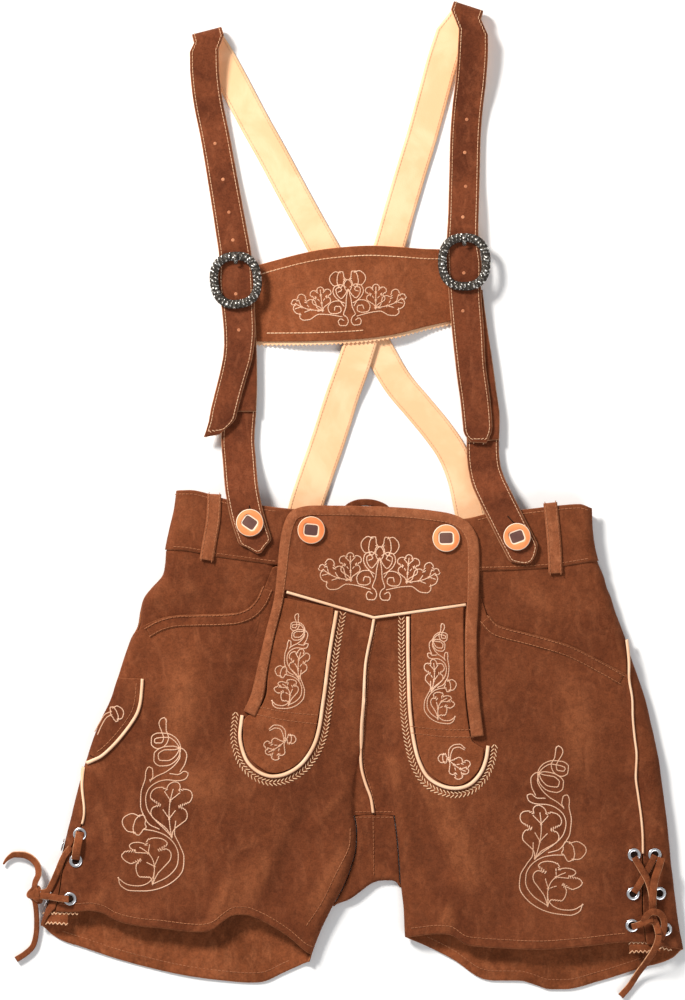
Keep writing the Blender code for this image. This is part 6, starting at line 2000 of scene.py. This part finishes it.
routes = {name: smooth_path(raised_route(points), 72) for name, points in LACES.items()}
LACING_SHAPES = {"_l": (slice(61, None, -1), 12, 5.0), "_r": (slice(None), 14, 5.0)}
for end, (part, twist, width) in LACING_SHAPES.items():
    name = "lacing" + end
    add_thong(name, routes[name][part], name, twist=twist, width=width)

# %% [markdown]
# Short lengths cross from eyelet to eyelet. They start just inside one ring and end inside the next, with
# the middle standing up where two of them pass.

# %% Crossings
# Rows of x, y and height above the front, then the width.
CROSSINGS = {
    "crossing_l_1": ([(-211, -252, 0.3), (-212, -258, 3.0), (-213.4, -266, 3.4), (-214.4, -272.4, 0.5)], 6.2),
    "crossing_l_2": ([(-217.6, -263.5, 0.4), (-221.6, -270, 1.8), (-226, -281, 1.8), (-230, -291, 2.2),
                      (-236, -296.5, 3.4), (-241, -297.6, 4.0)], 4.6),
    "crossing_r_1": ([(217.2, -312, 4.6), (217.2, -302, 5.6), (217.7, -294, 6.0), (219.0, -286, 6.2),
                      (221.8, -278, 5.0), (223.8, -271.2, 2.4)], 5.6),
    "crossing_r_2": ([(203.8, -297.0, 0.4), (206.2, -293.0, 2.2), (210.5, -286, 1.4), (216, -276, 2.2),
                      (219.6, -269.6, 0.3)], 5.0),
    "crossing_r_3": ([(217.4, -316.6, 6.0), (214, -317.6, 5.4), (209.6, -320.2, 3.8), (205, -322.0, 3.0),
                      (202.6, -322.8, 0.6)], 4.8),
}
for name, (rows, width) in CROSSINGS.items():
    add_thong(name, smooth_path(lifted(rows), 40), width=width, thickness=1.5)

# %% [markdown]
# A knot in a flat thong is a lump of two or three turns that cross. Each turn is a closed loop round the
# ends, tilted against the next.

# %% Knots
# Turns of each knot: centre, half width, half height, direction in degrees, tilt.
KNOTS = {
    "_l": [(-245.6, -299.4, 8.0, 4.2, 3.6, 20, 1.6), (-246.4, -297.2, 8.6, 3.8, 3.0, 115, -1.4),
           (-244.8, -302.0, 8.4, 3.4, 3.0, 70, 1.2)],
    "_r": [(217.6, -319.0, 16.4, 2.8, 2.4, 80, 0.8)],
}
ARCH = [(210.8, -318.4, 4.2), (212.8, -313.8, 6.6), (217.4, -311.0, 8.6), (222.0, -312.2, 8.4),
        (225.0, -316.2, 7.2), (226.0, -321.4, 5.2), (225.4, -327.0, 3.2), (224.0, -332.2, 0.8)]
for end, turns in KNOTS.items():
    parts, rims = [], []
    for turn in turns:
        points, faces, rim = thong_mesh(knot_path(turn[:3], *turn[3:]), LACE_WIDTH, 1.7, closed=True)
        parts.append((points, faces))
        rims.append(rim)
    knot = add_piece("knot" + end, *gather(parts), ["lace"], values={"rim": np.concatenate(rims)})
    settle(knot, "lace_suede")
add_thong("crossing_r_4", smooth_path(lifted(ARCH), 60), width=5.0, thickness=1.7)

# %% [markdown]
# The free ends are thongs laid along their routes from the knot to the cut end, each standing for the
# solid of its own name.

# %% Free ends
# Side, twist in degrees, and the width from knot to tip as shares of a thong's.
FREE_ENDS = {"lace_l": ("_l", 24, (0.85, 0.95, 1.1, 1.15, 0.95, 0.3)),
             "lace_l_end": ("_l", -18, (0.8, 0.82, 0.88, 0.95)),
             "lace_r": ("_r", 22, (1.0, 1.1, 1.0, 1.05))}
for name, (end, twist, taper) in FREE_ENDS.items():
    path = routes[name]
    piece = add_thong(name, path, name, twist=twist, taper=taper)
